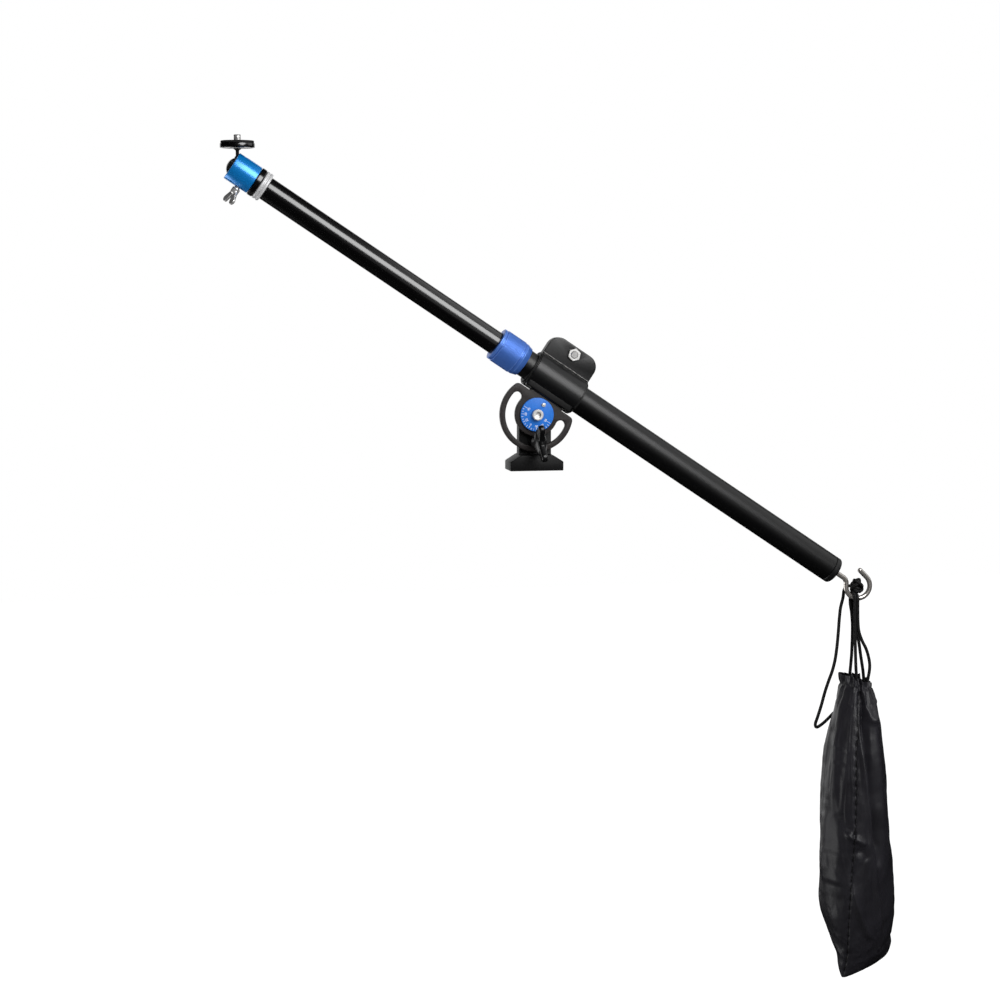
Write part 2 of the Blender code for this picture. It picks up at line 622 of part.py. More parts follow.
def make_clamp_screw(finish, clamp_axis):
    nut_back = -EAR_FACE + NUT_POCKET_DEPTH - GAP
    nut_front = nut_back - NUT_THICKNESS
    hex_nut("clamp_nut", NUT_ACROSS_FLATS, nut_front, nut_back, CLAMP_STUD_RADIUS + GAP, clamp_axis,
            finish["steel"])
    washer_front = EAR_FACE + GAP
    washer_back = washer_front + WASHER_THICKNESS
    knob_front = washer_back + GAP
    ring("clamp_washer", washer_front, washer_back, CLAMP_STUD_RADIUS + GAP, WASHER_RADIUS, clamp_axis,
         ALONG_Y, finish["steel"], steps=SMALL_STEPS)
    rod("clamp_stud", nut_front - CLAMP_STUD_RADIUS * 0.3, knob_front + STUD_GRIP, CLAMP_STUD_RADIUS,
        clamp_axis, ALONG_Y, finish["steel"])
    make_wing_knob("clamp_knob", CLAMP_STUD_RADIUS, clamp_axis, ALONG_Y, knob_front, finish)


def make_liner(finish, boom_axis):
    """The nylon liner that the tube slides and turns in, split like the sleeve."""
    half = SLEEVE_LENGTH / 2 + GAP
    inner = OUTER_RADIUS + GAP
    outer = inner + LINER_WALL
    flange = SLEEVE_BORE + LINER_FLANGE_RISE
    end = half + LINER_FLANGE
    profile = [(-end, inner), (-end, flange), (-half, flange), (-half, outer),
               (half, outer), (half, flange), (end, flange), (end, inner)]
    liner = turned("sleeve_liner", profile, boom_axis, ALONG_X, finish["black_plastic"])
    cut(liner, prism("liner_slit", rectangle(-end - GAP, end + GAP, 0, flange + GAP), Y,
                     -LINER_SLIT / 2, LINER_SLIT / 2, boom_axis))


# Tubes

def make_tubes(finish, boom_axis):
    edge = GAP
    outer = [(OUTER_FRONT, OUTER_BORE), (OUTER_FRONT, OUTER_RADIUS - edge),
             (OUTER_FRONT + edge, OUTER_RADIUS), (OUTER_REAR, OUTER_RADIUS), (OUTER_REAR, OUTER_BORE)]
    turned("outer_tube", outer, boom_axis, ALONG_X, finish["black_anodised"])
    ring("inner_tube", INNER_FRONT, INNER_REAR, INNER_BORE, INNER_RADIUS, boom_axis, ALONG_X,
         finish["black_anodised"])
    plug = INNER_BORE - GAP
    flange = OUTER_BORE - GAP
    start = INNER_REAR + GAP
    bush = [(INNER_REAR - BUSH_PLUG, 0), (INNER_REAR - BUSH_PLUG, plug), (start, plug), (start, flange),
            (start + BUSH_FLANGE, flange), (start + BUSH_FLANGE, 0)]
    turned("inner_guide_bush", bush, boom_axis, ALONG_X, finish["black_plastic"])


def make_twist_collar(finish, boom_axis):
    """The knurled collar: rim ring, groove, knurled band, smooth band and cone."""
    front, back = COLLAR_FRONT, COLLAR_BACK
    rim = front + COLLAR_RIM
    groove = rim + COLLAR_RIM * 0.55
    cone = back - COLLAR_CONE_LENGTH
    knurl_end = cone - COLLAR_CONE_LENGTH * 0.7
    step = COLLAR_RADIUS - COLLAR_BAND_RADIUS
    bore = OUTER_RADIUS + GAP
    lip = INNER_RADIUS + GAP
    profile = [
        (front, lip), (front, COLLAR_BAND_RADIUS - step), (front + step, COLLAR_BAND_RADIUS),
        (rim, COLLAR_BAND_RADIUS), (rim + step / 2, COLLAR_GROOVE_RADIUS),
        (groove, COLLAR_GROOVE_RADIUS), (groove + step, COLLAR_RADIUS), (knurl_end, COLLAR_RADIUS),
        (knurl_end + step, COLLAR_BAND_RADIUS), (cone, COLLAR_BAND_RADIUS), (back, COLLAR_END_RADIUS),
        (back, bore), (front + COLLAR_LIP, bore), (front + COLLAR_LIP, lip),
    ]
    turned("twist_collar", profile, boom_axis, ALONG_X, finish["blue_anodised"], steps=48)
    collet_front = front + COLLAR_LIP + GAP
    collet = ring("collet", collet_front, collet_front + COLLET_LENGTH, lip, OUTER_RADIUS, boom_axis,
                  ALONG_X, finish["white_nylon"])
    cut(collet, prism("collet_slit",
                      rectangle(collet_front - GAP, collet_front + COLLET_LENGTH + GAP, 0, COLLAR_RADIUS),
                      Y, -COLLET_SLIT / 2, COLLET_SLIT / 2, boom_axis))


# Rear end

def make_end_cap(finish, boom_axis):
    bore = HOOK_WIRE_RADIUS + GAP
    plug = OUTER_BORE - GAP
    plug_start = CAP_FACE - CAP_PLUG
    recess = plug_start + CAP_RECESS_DEPTH
    rounding = arc((END_FACE - CAP_EDGE, OUTER_RADIUS - CAP_EDGE), CAP_EDGE, math.pi / 2, 0, 4)
    profile = [(recess, bore), (recess, CAP_RECESS_RADIUS), (plug_start, CAP_RECESS_RADIUS),
               (plug_start, plug), (CAP_FACE, plug), (CAP_FACE, OUTER_RADIUS)]
    profile += rounding
    profile += [(END_FACE, CAP_BOSS_RADIUS), (END_FACE + CAP_BOSS_HEIGHT, CAP_BOSS_TIP_RADIUS),
                (END_FACE + CAP_BOSS_HEIGHT, bore)]
    turned("end_cap", profile, boom_axis, ALONG_X, finish["black_plastic"])
    nut_end = recess - GAP
    nut = make_object("hook_nut", prism_mesh("hook_nut", hexagon(HOOK_NUT_ACROSS_FLATS), X,
                                             nut_end - HOOK_NUT_THICKNESS, nut_end),
                      boom_axis, material=finish["steel"])
    cut(nut, rod("hook_nut_bore", nut_end - HOOK_NUT_THICKNESS - GAP, nut_end + GAP, bore, boom_axis,
                 ALONG_X))


def hook_line():
    """The wire's centre line in the arm's plane: shank, bend, loop and straight tail."""
    reach = HOOK_BEND_RADIUS + HOOK_LOOP_RADIUS
    climb = HOOK_LOOP_RISE + HOOK_BEND_RADIUS
    bend_x = HOOK_LOOP_CENTRE - math.sqrt(reach ** 2 - climb ** 2)
    lean = math.asin(climb / reach)
    loop_end = math.tau + HOOK_MOUTH_ANGLE
    shank_start = CAP_FACE - CAP_PLUG
    points = [(shank_start, 0), (END_FACE, 0)]
    points += arc((bend_x, -HOOK_BEND_RADIUS), HOOK_BEND_RADIUS, math.pi / 2, lean, 5)
    points += arc((HOOK_LOOP_CENTRE, HOOK_LOOP_RISE), HOOK_LOOP_RADIUS, math.pi + lean, loop_end, 26)[1:]
    tip = points[-1]
    run = (-math.sin(loop_end), math.cos(loop_end))
    points += [(tip[0] + run[0] * HOOK_TAIL * share, tip[1] + run[1] * HOOK_TAIL * share)
               for share in (0.5, 0.86, 0.96, 1.0)]
    return points


def make_wire(name, points, radius, parent, material, tip_sizes=(), resolution=2):
    """A round wire or cord along points, with closed ends; tip_sizes narrow its last points."""
    curve = bpy.data.curves.new(name, "CURVE")
    curve.dimensions = "3D"
    curve.bevel_depth = radius
    curve.bevel_resolution = resolution
    curve.resolution_u = 1
    curve.render_resolution_u = 0
    curve.use_fill_caps = True
    spline = curve.splines.new("POLY")
    spline.points.add(len(points) - 1)
    for spot, point in zip(spline.points, points):
        spot.co = (*point, 1.0)
    for spot, size in zip(reversed(spline.points), tip_sizes):
        spot.radius = size
    curve.materials.append(material)
    wire = bpy.data.objects.new(name, curve)
    bpy.context.scene.collection.objects.link(wire)
    wire.parent = parent
    return wire


def make_hook(finish, boom_axis):
    points = [(x, 0.0, z) for x, z in hook_line()]
    make_wire("hook", points, HOOK_WIRE_RADIUS, boom_axis, finish["steel"], (0.45, 0.82), 3)


# Ball head

def make_head_mount(finish, boom_axis):
    """The silver plug in the tube's end, the black base ring and the stud through both."""
    stud = HEAD_STUD_RADIUS + GAP
    plug = INNER_BORE - GAP
    plug_end = INNER_FRONT + PLUG_DEPTH
    middle = SILVER_FRONT + SILVER_LENGTH / 2
    notch = SILVER_LENGTH * 0.09
    profile = [
        (SILVER_FRONT, stud), (SILVER_FRONT, SILVER_RADIUS - notch), (SILVER_FRONT + notch, SILVER_RADIUS),
        (middle - notch, SILVER_RADIUS), (middle, SILVER_RADIUS - notch), (middle + notch, SILVER_RADIUS),
        (INNER_FRONT - GAP - notch, SILVER_RADIUS), (INNER_FRONT - GAP, SILVER_RADIUS - notch),
        (INNER_FRONT - GAP, plug), (plug_end, plug), (plug_end, stud),
    ]
    turned("tube_front_plug", profile, boom_axis, ALONG_X, finish["silver"])
    back = HEAD_BASE_FRONT + HEAD_BASE_LENGTH
    edge = HEAD_BASE_LENGTH * 0.1
    spigot = HOUSING_BORE - GAP
    base = [
        (HEAD_BASE_FRONT - HEAD_SPIGOT, stud), (HEAD_BASE_FRONT - HEAD_SPIGOT, spigot),
        (HEAD_BASE_FRONT, spigot), (HEAD_BASE_FRONT, HEAD_BASE_RADIUS - edge),
        (HEAD_BASE_FRONT + edge, HEAD_BASE_RADIUS), (back - edge, HEAD_BASE_RADIUS),
        (back, HEAD_BASE_RADIUS - edge), (back, stud),
    ]
    turned("head_base", base, boom_axis, ALONG_X, finish["black_anodised"])
    rod("head_stud", HEAD_BASE_FRONT - HEAD_SPIGOT, plug_end, HEAD_STUD_RADIUS, boom_axis, ALONG_X,
        finish["steel"])


def make_housing(finish, boom_axis, screw_axis):
    cavity = BALL_RADIUS + GAP
    rim_radius = math.sqrt(cavity ** 2 - BALL_INSET ** 2)
    rim_angle = math.atan2(rim_radius, -BALL_INSET)
    edge = HOUSING_WALL * 0.3
    inside = arc((BALL_CENTRE, 0), cavity, rim_angle, math.pi / 2, 6)
    profile = [(HOUSING_BACK, HOUSING_BORE), (HOUSING_BACK, HOUSING_RADIUS - edge),
               (HOUSING_BACK - edge, HOUSING_RADIUS), (HOUSING_FRONT + edge, HOUSING_RADIUS),
               (HOUSING_FRONT, HOUSING_RADIUS - edge)]
    profile += inside
    housing = turned("ball_housing", profile, boom_axis, ALONG_X, finish["blue_anodised"])
    notch_bottom = BALL_CENTRE - NOTCH_SINK
    notch = arc((notch_bottom, 0), NOTCH_RADIUS, -math.pi / 2, math.pi / 2, 10)
    notch += [(HOUSING_FRONT - NOTCH_RADIUS, NOTCH_RADIUS), (HOUSING_FRONT - NOTCH_RADIUS, -NOTCH_RADIUS)]
    cut(housing, prism("stem_notch", notch, Z, STEM_FOOT_RADIUS, HOUSING_RADIUS * 1.5, boom_axis))
    cut(housing, rod("head_screw_hole", HOUSING_BORE * 0.8, HOUSING_RADIUS * 1.2,
                     HEAD_SCREW_RADIUS + GAP, screw_axis, ALONG_MINUS_Z))
    return housing


def make_ball_seat(finish, boom_axis, screw_axis):
    cavity = BALL_RADIUS + GAP
    outer = HOUSING_BORE - GAP
    lip = BALL_CENTRE + SEAT_START
    lip_radius = math.sqrt(cavity ** 2 - SEAT_START ** 2)
    back = HEAD_BASE_FRONT - HEAD_SPIGOT - GAP
    seat_angle = math.atan2(lip_radius, SEAT_START)
    bowl = arc((BALL_CENTRE, 0), cavity, seat_angle, 0, 5)
    profile = [(bowl[-1][0], 0)] + bowl[-2::-1] + [(lip, outer), (back, outer), (back, 0)]
    seat = turned("ball_seat", profile, boom_axis, ALONG_X, finish["white_nylon"])
    cut(seat, rod("seat_pocket", outer - HEAD_SCREW_BITE - GAP, outer * 1.2, HEAD_SCREW_RADIUS + GAP,
                  screw_axis, ALONG_MINUS_Z))


def make_head_screw(finish, screw_axis):
    """The chrome wing screw under the head; its axis is square to the tube."""
    turn = ALONG_MINUS_Z @ Matrix.Rotation(HEAD_SCREW_TURN, 4, "Z")
    tip = HOUSING_BORE - GAP - HEAD_SCREW_BITE
    hub = HOUSING_RADIUS + HEAD_HUB_RADIUS * 0.35
    hub_end = hub + HEAD_HUB_LENGTH
    profile = [
        (tip, 0), (tip, HEAD_SCREW_RADIUS), (hub, HEAD_SCREW_RADIUS), (hub, HEAD_HUB_RADIUS),
        (hub_end - HEAD_HUB_RADIUS * 0.3, HEAD_HUB_RADIUS), (hub_end, HEAD_HUB_RADIUS * 0.7), (hub_end, 0),
    ]
    screw = turned("head_wing_screw", profile, screw_axis, turn, finish["steel"], steps=SMALL_STEPS)
    outline = wing_outline(HEAD_HUB_RADIUS * 0.8, hub + HEAD_HUB_LENGTH * 0.25, HEAD_WING_REACH,
                           hub + HEAD_WING_HEIGHT, HEAD_LOBE_RADIUS, hub + HEAD_HUB_LENGTH)
    wings = make_object("head_wings", prism_mesh("head_wings", outline, Y, -HEAD_WING_THICKNESS / 2,
                                                 HEAD_WING_THICKNESS / 2), screw_axis, turn=turn)
    soften(wings, HEAD_WING_THICKNESS * 0.25)
    add(screw, wings)


def make_ball_and_stem(finish, ball_axis):
    profile = [(-BALL_RADIUS, 0)]
    profile += [(z, r) for z, r in arc((0, 0), BALL_RADIUS, math.pi, 0, 12)[1:-1]]
    profile += [(BALL_RADIUS, 0)]
    turned("ball", profile, ball_axis, None, finish["steel"], steps=24)
    seat = BALL_RADIUS + GAP
    foot_angle = math.asin(STEM_FOOT_RADIUS / seat)
    foot = arc((0, 0), seat, 0, foot_angle, 3)
    foot_top = seat + STEM_FOOT_RADIUS * 0.5
    top = PLATE_RISE - GAP
    stem = foot + [
        (foot_top, STEM_RADIUS), (top - STEM_FLARE_RADIUS * 0.7, STEM_RADIUS),
        (top - STEM_FLARE_RADIUS * 0.25, STEM_FLARE_RADIUS), (top, STEM_FLARE_RADIUS), (top, 0),
    ]
    stem[0] = (seat, 0)
    turned("ball_stem", stem, ball_axis, None, finish["steel"], steps=SMALL_STEPS)


def make_camera_plate(finish, ball_axis):
    bore = CAMERA_SCREW_RADIUS + GAP
    top = PLATE_RISE + CAMERA_PLATE_THICKNESS
    edge = CAMERA_PLATE_THICKNESS * 0.15
    plate = [
        (PLATE_RISE, 0), (PLATE_RISE, CAMERA_PLATE_RADIUS - edge), (PLATE_RISE + edge, CAMERA_PLATE_RADIUS),
        (top - edge, CAMERA_PLATE_RADIUS), (top, CAMERA_PLATE_RADIUS - edge), (top, bore),
        (top - CAMERA_PLATE_THICKNESS * 0.6, bore), (top - CAMERA_PLATE_THICKNESS * 0.6, 0),
    ]
    turned("camera_plate", plate, ball_axis, None, finish["black_anodised"])
    ring("camera_pad", top + GAP, top + GAP + CAMERA_PAD_THICKNESS, bore, CAMERA_PAD_RADIUS, ball_axis,
         None, finish["rubber"])
    screw_start = top - CAMERA_PLATE_THICKNESS * 0.6 + GAP
    screw_end = top + GAP + CAMERA_PAD_THICKNESS + CAMERA_SCREW_HEIGHT
    screw = [(screw_start, 0), (screw_start, CAMERA_SCREW_RADIUS),
             (screw_end - CAMERA_SCREW_RADIUS * 0.25, CAMERA_SCREW_RADIUS),
             (screw_end, CAMERA_SCREW_RADIUS * 0.75), (screw_end, 0)]
    turned("camera_screw", screw, ball_axis, None, finish["steel"], steps=SMALL_STEPS)


# Weight bag and its drawcord

def smooth_route(route, step):
    """Points about a step apart on a smooth curve through a route's own points."""
    points = [Vector(point) for point in route]
    ends = [2 * points[0] - points[1]] + points + [2 * points[-1] - points[-2]]
    line = []
    for before, start, end, after in zip(ends, ends[1:], ends[2:], ends[3:]):
        count = max(1, round((end - start).length / step))
        for i in range(count):
            t = i / count
            line.append(0.5 * (2 * start + (end - before) * t
                               + (2 * before - 5 * start + 4 * end - after) * t ** 2
                               + (3 * start - before - 3 * end + after) * t ** 3))
    return line + [points[-1]]


def bag_section(height, centre, half_thickness, half_width, turn):
    """A rounded section of the bag, turned about the vertical."""
    points = []
    for i in range(BAG_STEPS):
        angle = math.tau * i / BAG_STEPS
        across = math.copysign(abs(math.cos(angle)) ** BAG_SQUARENESS, math.cos(angle)) * half_thickness
        along = math.copysign(abs(math.sin(angle)) ** BAG_SQUARENESS, math.sin(angle)) * half_width
        x = centre + across * math.cos(turn) + along * math.sin(turn)
        y = -across * math.sin(turn) + along * math.cos(turn)
        points.append((x, y, height))
    return points


def make_bag(finish, hook_axis):
    shape = bmesh.new()
    rows = []
    for section in BAG_SECTIONS:
        rows.append([shape.verts.new(point) for point in bag_section(*section)])
    for upper, lower in zip(rows, rows[1:]):
        for i in range(BAG_STEPS):
            j = (i + 1) % BAG_STEPS
            shape.faces.new((upper[i], upper[j], lower[j], lower[i]))
    shape.faces.new(rows[0])
    shape.faces.new(reversed(rows[-1]))
    bag = make_object("weight_bag", finish_mesh("weight_bag", shape), None, material=finish["nylon_cloth"])
    keep_place(bag, hook_axis)


def keep_place(piece, parent):
    """Parents a piece that was made in world coordinates."""
    piece.parent = parent
    piece.matrix_parent_inverse = parent.matrix_world.inverted()


def knot_line():
    """A round knot: the cord winds about a ball and weaves over and under itself."""
    points = []
    span = math.tau - KNOT_OPENING
    for i in range(KNOT_STEPS + 1):
        t = KNOT_OPENING / 2 + span * i / KNOT_STEPS
        latitude = KNOT_LATITUDE * math.cos(KNOT_BIGHTS * t)
        radius = KNOT_RADIUS + KNOT_WEAVE * math.sin(2 * KNOT_BIGHTS * t)
        x = radius * math.cos(latitude) * math.cos(KNOT_LEADS * t)
        y = radius * math.cos(latitude) * math.sin(KNOT_LEADS * t)
        z = radius * math.sin(latitude) * KNOT_STRETCH
        points.append(Vector((KNOT_CENTRE[0] + x, KNOT_CENTRE[1] + y, KNOT_CENTRE[2] + z)))
    return points


def least_gap(points, radius):
    """The smallest gap between stretches of a cord that aren't neighbours along it."""
    steps = [(b - a).length for a, b in zip(points, points[1:])]
    along = [sum(steps[:i]) for i in range(len(points))]
    apart = [
        (a - b).length - 2 * radius
        for i, a in enumerate(points) for j, b in enumerate(points)
        if along[j] - along[i] > 4 * radius
    ]
    return min(apart)


def make_cords(finish, hook_axis):
    routes = {
        "drawcord_left": LEFT_CORD_ROUTE,
        "drawcord_right": RIGHT_CORD_ROUTE,
        "drawcord_loop": LOOP_CORD_ROUTE,
    }
    for name, route in routes.items():
        line = smooth_route(route, CORD_STEP)
        length = sum((b - a).length for a, b in zip(line, line[1:]))
        print(f"{name}: {length * 1000:.1f} mm long, {len(line)} points")
        keep_place(make_wire(name, line, CORD_RADIUS, None, finish["cord"]), hook_axis)
    knot = knot_line()
    print(f"cord_knot: least gap to itself {least_gap(knot, CORD_RADIUS) * 1000:.2f} mm")
    keep_place(make_wire("cord_knot", knot, CORD_RADIUS, None, finish["cord"]), hook_axis)


def main():
    clear_scene()
    finish = make_materials()
    tilt_axis = make_axis("tilt_axis", place=(0, 0, PIVOT_HEIGHT), turn=Matrix.Rotation(TILT, 4, "Y"))
    pivot = make_axis("pivot", place=(0, 0, PIVOT_HEIGHT))
    lock_axis = make_axis("lock_axis", place=(0, 0, PIVOT_HEIGHT - SLOT_RADIUS))
    boom_axis = make_axis("boom_axis", tilt_axis, (0, 0, AXIS_RISE))
    clamp_axis = make_axis("clamp_axis", boom_axis, (0, 0, CLAMP_SCREW_HEIGHT))
    screw_axis = make_axis("screw_axis", boom_axis, (HEAD_SCREW_PLACE, 0, 0))
    ball_axis = make_axis("ball_axis", boom_axis, (BALL_CENTRE, 0, 0), Matrix.Rotation(-TILT, 4, "Y"))
    hook_axis = make_axis("hook_axis", boom_axis, (HOOK_LOOP_CENTRE, 0, HOOK_LOOP_RISE))
    bpy.context.view_layer.update()
    make_base(finish, pivot, lock_axis)
    make_pivot(finish, pivot)
    make_lock(finish, lock_axis)
    make_tilt_plate(finish, tilt_axis)
    make_dial(finish, tilt_axis)
    make_clamp(finish, boom_axis, clamp_axis)
    make_clamp_screw(finish, clamp_axis)
    make_liner(finish, boom_axis)
    make_tubes(finish, boom_axis)
    make_twist_collar(finish, boom_axis)
    make_end_cap(finish, boom_axis)
    make_hook(finish, boom_axis)
    make_head_mount(finish, boom_axis)
    make_housing(finish, boom_axis, screw_axis)
    make_ball_seat(finish, boom_axis, screw_axis)
    make_head_screw(finish, screw_axis)
    make_ball_and_stem(finish, ball_axis)
    make_camera_plate(finish, ball_axis)
    make_bag(finish, hook_axis)
    make_cords(finish, hook_axis)


main()
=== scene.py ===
# %% [markdown]
# # A tripod extension arm
# A boom of two black tubes tilts on a plate with a dial. A ball head sits on its front end, and a
# weight bag hangs from a hook at its rear end. The frame holds the solids and the joints of the arm.
# Every step below makes one visible piece in their place, at the size that the frame gives.

# %% Load the frame
import json
import math

import bmesh
import bpy
from mathutils import Matrix, Vector, noise


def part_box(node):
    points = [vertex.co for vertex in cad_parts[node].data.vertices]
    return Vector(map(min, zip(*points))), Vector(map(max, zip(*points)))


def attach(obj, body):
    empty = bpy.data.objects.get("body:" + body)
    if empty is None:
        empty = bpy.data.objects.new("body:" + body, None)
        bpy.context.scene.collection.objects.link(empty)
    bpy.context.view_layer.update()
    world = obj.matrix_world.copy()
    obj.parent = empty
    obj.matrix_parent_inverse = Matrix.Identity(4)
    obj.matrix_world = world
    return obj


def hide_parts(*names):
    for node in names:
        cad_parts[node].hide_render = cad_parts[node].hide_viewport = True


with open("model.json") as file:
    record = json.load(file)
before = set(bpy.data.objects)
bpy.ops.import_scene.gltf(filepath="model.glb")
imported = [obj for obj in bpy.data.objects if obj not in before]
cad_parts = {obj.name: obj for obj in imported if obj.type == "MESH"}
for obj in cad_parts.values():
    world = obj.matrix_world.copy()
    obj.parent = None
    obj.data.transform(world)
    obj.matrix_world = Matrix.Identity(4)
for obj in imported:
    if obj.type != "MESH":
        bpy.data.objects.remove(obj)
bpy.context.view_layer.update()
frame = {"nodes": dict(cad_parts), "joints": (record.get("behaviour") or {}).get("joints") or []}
print(len(frame["nodes"]), "nodes in the frame")

# %% [markdown]
# ## Where the pieces lie
# The boom isn't in line with the world's axes, so each group of pieces gets a place of its own. A
# place is a matrix whose origin lies on a joint. The pieces are modelled upright at the origin and
# set down in their place at the end, so their own coordinates stay easy to read.

# %% Places on the joints


def joint(name):
    return next(one for one in frame["joints"] if one["name"] == name)


def place_at(origin, across, upwards):
    """A place whose local X is across and whose local Z is upwards."""
    z = Vector(upwards).normalized()
    y = z.cross(Vector(across)).normalized()
    x = y.cross(z)
    turn = Matrix((x, y, z)).transposed().to_4x4()
    return Matrix.Translation(Vector(origin)) @ turn


ALONG = Vector(joint("boom_turn")["axis"]).normalized()
FRONT = Vector((0, -1, 0))
ABOVE = FRONT.cross(ALONG)
boom_point = Vector(joint("boom_turn")["pos_m"])
pivot_point = Vector(joint("arm_tilt")["pos_m"])
clamp_screw_point = Vector(joint("clamp_turn")["pos_m"])
lock_point = Vector(joint("lock_turn")["pos_m"])
head_screw_point = Vector(joint("head_screw_turn")["pos_m"])
ball_point = Vector(joint("ball_tilt")["pos_m"])
hook_point = Vector(joint("bag_swing")["pos_m"])

BOOM = place_at(boom_point, -ABOVE, ALONG)
BOOM_SIDE = place_at(boom_point, ALONG, FRONT)
PLATE_SIDE = place_at(pivot_point, ALONG, FRONT)
DIAL = place_at(pivot_point, ALONG, FRONT)
LOCK = place_at(lock_point, (0, 0, 1), FRONT)
CLAMP_SCREW = place_at(clamp_screw_point, ALONG, -FRONT)
HEAD_SCREW = place_at(head_screw_point, ALONG, -ABOVE)
BALL = place_at(ball_point, (1, 0, 0), (0, 0, 1))
WORLD = Matrix.Identity(4)
print("the boom falls", round(math.degrees(math.asin(-ALONG.z)), 1), "degrees towards the bag")

# %% Measure a node along a place's axis


def span(node, place):
    """The lowest and highest point of a node along local Z, and its largest and smallest radius."""
    back = place.inverted()
    points = [back @ corner.co for corner in frame["nodes"][node].data.vertices]
    heights = [point.z for point in points]
    radii = [math.hypot(point.x, point.y) for point in points]
    return min(heights), max(heights), max(radii), min(radii)


print("outer tube", [round(value * 1000, 1) for value in span("outer_tube", BOOM)], "mm")

# %% [markdown]
# ## The camera
# The picture is taken from a little left of the front and a little above, from about two metres, with
# a long lens. A long lens keeps the two ends of the boom almost equally thick.

# %% Camera
VIEW_AZIMUTH = math.radians(-11)
VIEW_ELEVATION = math.radians(6)
VIEW_DISTANCE = 1.9584
FOCAL_LENGTH_PX = 2200
PICTURE_PX = 1000
SENSOR_MM = 36
PIVOT_PX = (534.25, 413.75)

backwards = Vector((math.sin(VIEW_AZIMUTH) * math.cos(VIEW_ELEVATION),
                    -math.cos(VIEW_AZIMUTH) * math.cos(VIEW_ELEVATION), math.sin(VIEW_ELEVATION)))
rightwards = (-backwards).cross(Vector((0, 0, 1))).normalized()
upwards = rightwards.cross(-backwards)
scale = VIEW_DISTANCE / FOCAL_LENGTH_PX
eye = (pivot_point + backwards * VIEW_DISTANCE
       - rightwards * (PIVOT_PX[0] - PICTURE_PX / 2) * scale
       + upwards * (PIVOT_PX[1] - PICTURE_PX / 2) * scale)
bpy.ops.object.camera_add(location=eye, rotation=backwards.to_track_quat("Z", "Y").to_euler())
camera = bpy.context.active_object
camera.name = "camera"
camera.data.sensor_width = SENSOR_MM
camera.data.lens = FOCAL_LENGTH_PX / PICTURE_PX * SENSOR_MM
bpy.context.scene.camera = camera
print("camera at", [round(value, 3) for value in eye])

# %% [markdown]
# ## The drawcord
# A thin braided cord closes the bag and carries it. Two strands go up from the mouth, over the hook
# and back, a loose loop falls at the left, and a knot lies in the hook. A cord is best made as a tube
# that is swept along a smooth line through a few points. The rings of the tube keep their turn from
# one to the next, so the braid doesn't twist. Its map runs round and along the cord for the braid.

# %% The cord's routes
CORD_RADIUS = 0.0015
CORD_STEP = 0.0012
CORD_SIDES = 14
LEFT_CORD_ROUTE = (
    (0.3048, -0.0054, -0.2037), (0.3037, -0.0054, -0.1929), (0.3031, -0.0052, -0.1822),
    (0.3027, -0.0049, -0.1702), (0.3023, -0.0046, -0.1582), (0.3020, -0.0044, -0.1476),
    (0.3019, -0.0043, -0.1369), (0.3018, -0.0042, -0.1289), (0.3017, -0.0039, -0.1224),
    (0.3013, -0.0015, -0.1194), (0.3007, 0.0015, -0.1190), (0.3002, 0.0038, -0.1222),
    (0.3004, 0.0044, -0.1300), (0.3018, 0.0044, -0.1382), (0.3028, 0.0044, -0.1490),
    (0.3030, 0.0045, -0.1597), (0.3029, 0.0047, -0.1705), (0.3027, 0.0049, -0.1786),
    (0.3022, 0.0051, -0.1867), (0.3016, 0.0054, -0.1962), (0.3015, 0.0056, -0.2043),
)
RIGHT_CORD_ROUTE = (
    (0.3144, -0.0040, -0.2070), (0.3157, -0.0046, -0.1989), (0.3168, -0.0048, -0.1921),
    (0.3169, -0.0048, -0.1854), (0.3152, -0.0048, -0.1773), (0.3128, -0.0047, -0.1706),
    (0.3092, -0.0046, -0.1638), (0.3062, -0.0045, -0.1557), (0.3051, -0.0044, -0.1477),
    (0.3047, -0.0043, -0.1370), (0.3046, -0.0042, -0.1290), (0.3045, -0.0039, -0.1233),
    (0.3041, -0.0015, -0.1203), (0.3035, 0.0015, -0.1201), (0.3030, 0.0038, -0.1230),
    (0.3033, 0.0044, -0.1303), (0.3048, 0.0046, -0.1384), (0.3064, 0.0050, -0.1492),
    (0.3084, 0.0054, -0.1601), (0.3101, 0.0056, -0.1682), (0.3119, 0.0058, -0.1791),
    (0.3134, 0.0060, -0.1872), (0.3148, 0.0062, -0.1954), (0.3158, 0.0064, -0.2049),
)
LOOP_CORD_ROUTE = (
    (0.3004, 0.0046, -0.1134), (0.2972, 0.0064, -0.1146), (0.2952, 0.0074, -0.1180),
    (0.2944, 0.0076, -0.1250), (0.2922, 0.0077, -0.1345), (0.2912, 0.0078, -0.1452),
    (0.2905, 0.0079, -0.1572), (0.2895, 0.0081, -0.1706), (0.2880, 0.0084, -0.1830),
    (0.2856, 0.0088, -0.1935), (0.2824, 0.0093, -0.2029), (0.2791, 0.0100, -0.2137),
    (0.2762, 0.0110, -0.2260), (0.2733, 0.0122, -0.2369), (0.2713, 0.0132, -0.2444),
    (0.2733, 0.0142, -0.2475), (0.2802, 0.0175, -0.2449), (0.2874, 0.0222, -0.2411),
    (0.2933, 0.0268, -0.2379), (0.2987, 0.0310, -0.2360),
)
KNOT_LEADS = 3
KNOT_BIGHTS = 2
KNOT_RADIUS = 0.0053
KNOT_WEAVE = 0.0009
KNOT_LATITUDE = 1.06
KNOT_STRETCH = 1.04
KNOT_STEPS = 120
KNOT_OPENING = 0.16
KNOT_CENTRE = Vector((0.3048, 0.0, -0.1126))
COIL_RADIUS = 0.0028
COIL_TOP = 0.0030
COIL_TURNS = 3
COIL_STEPS = 24


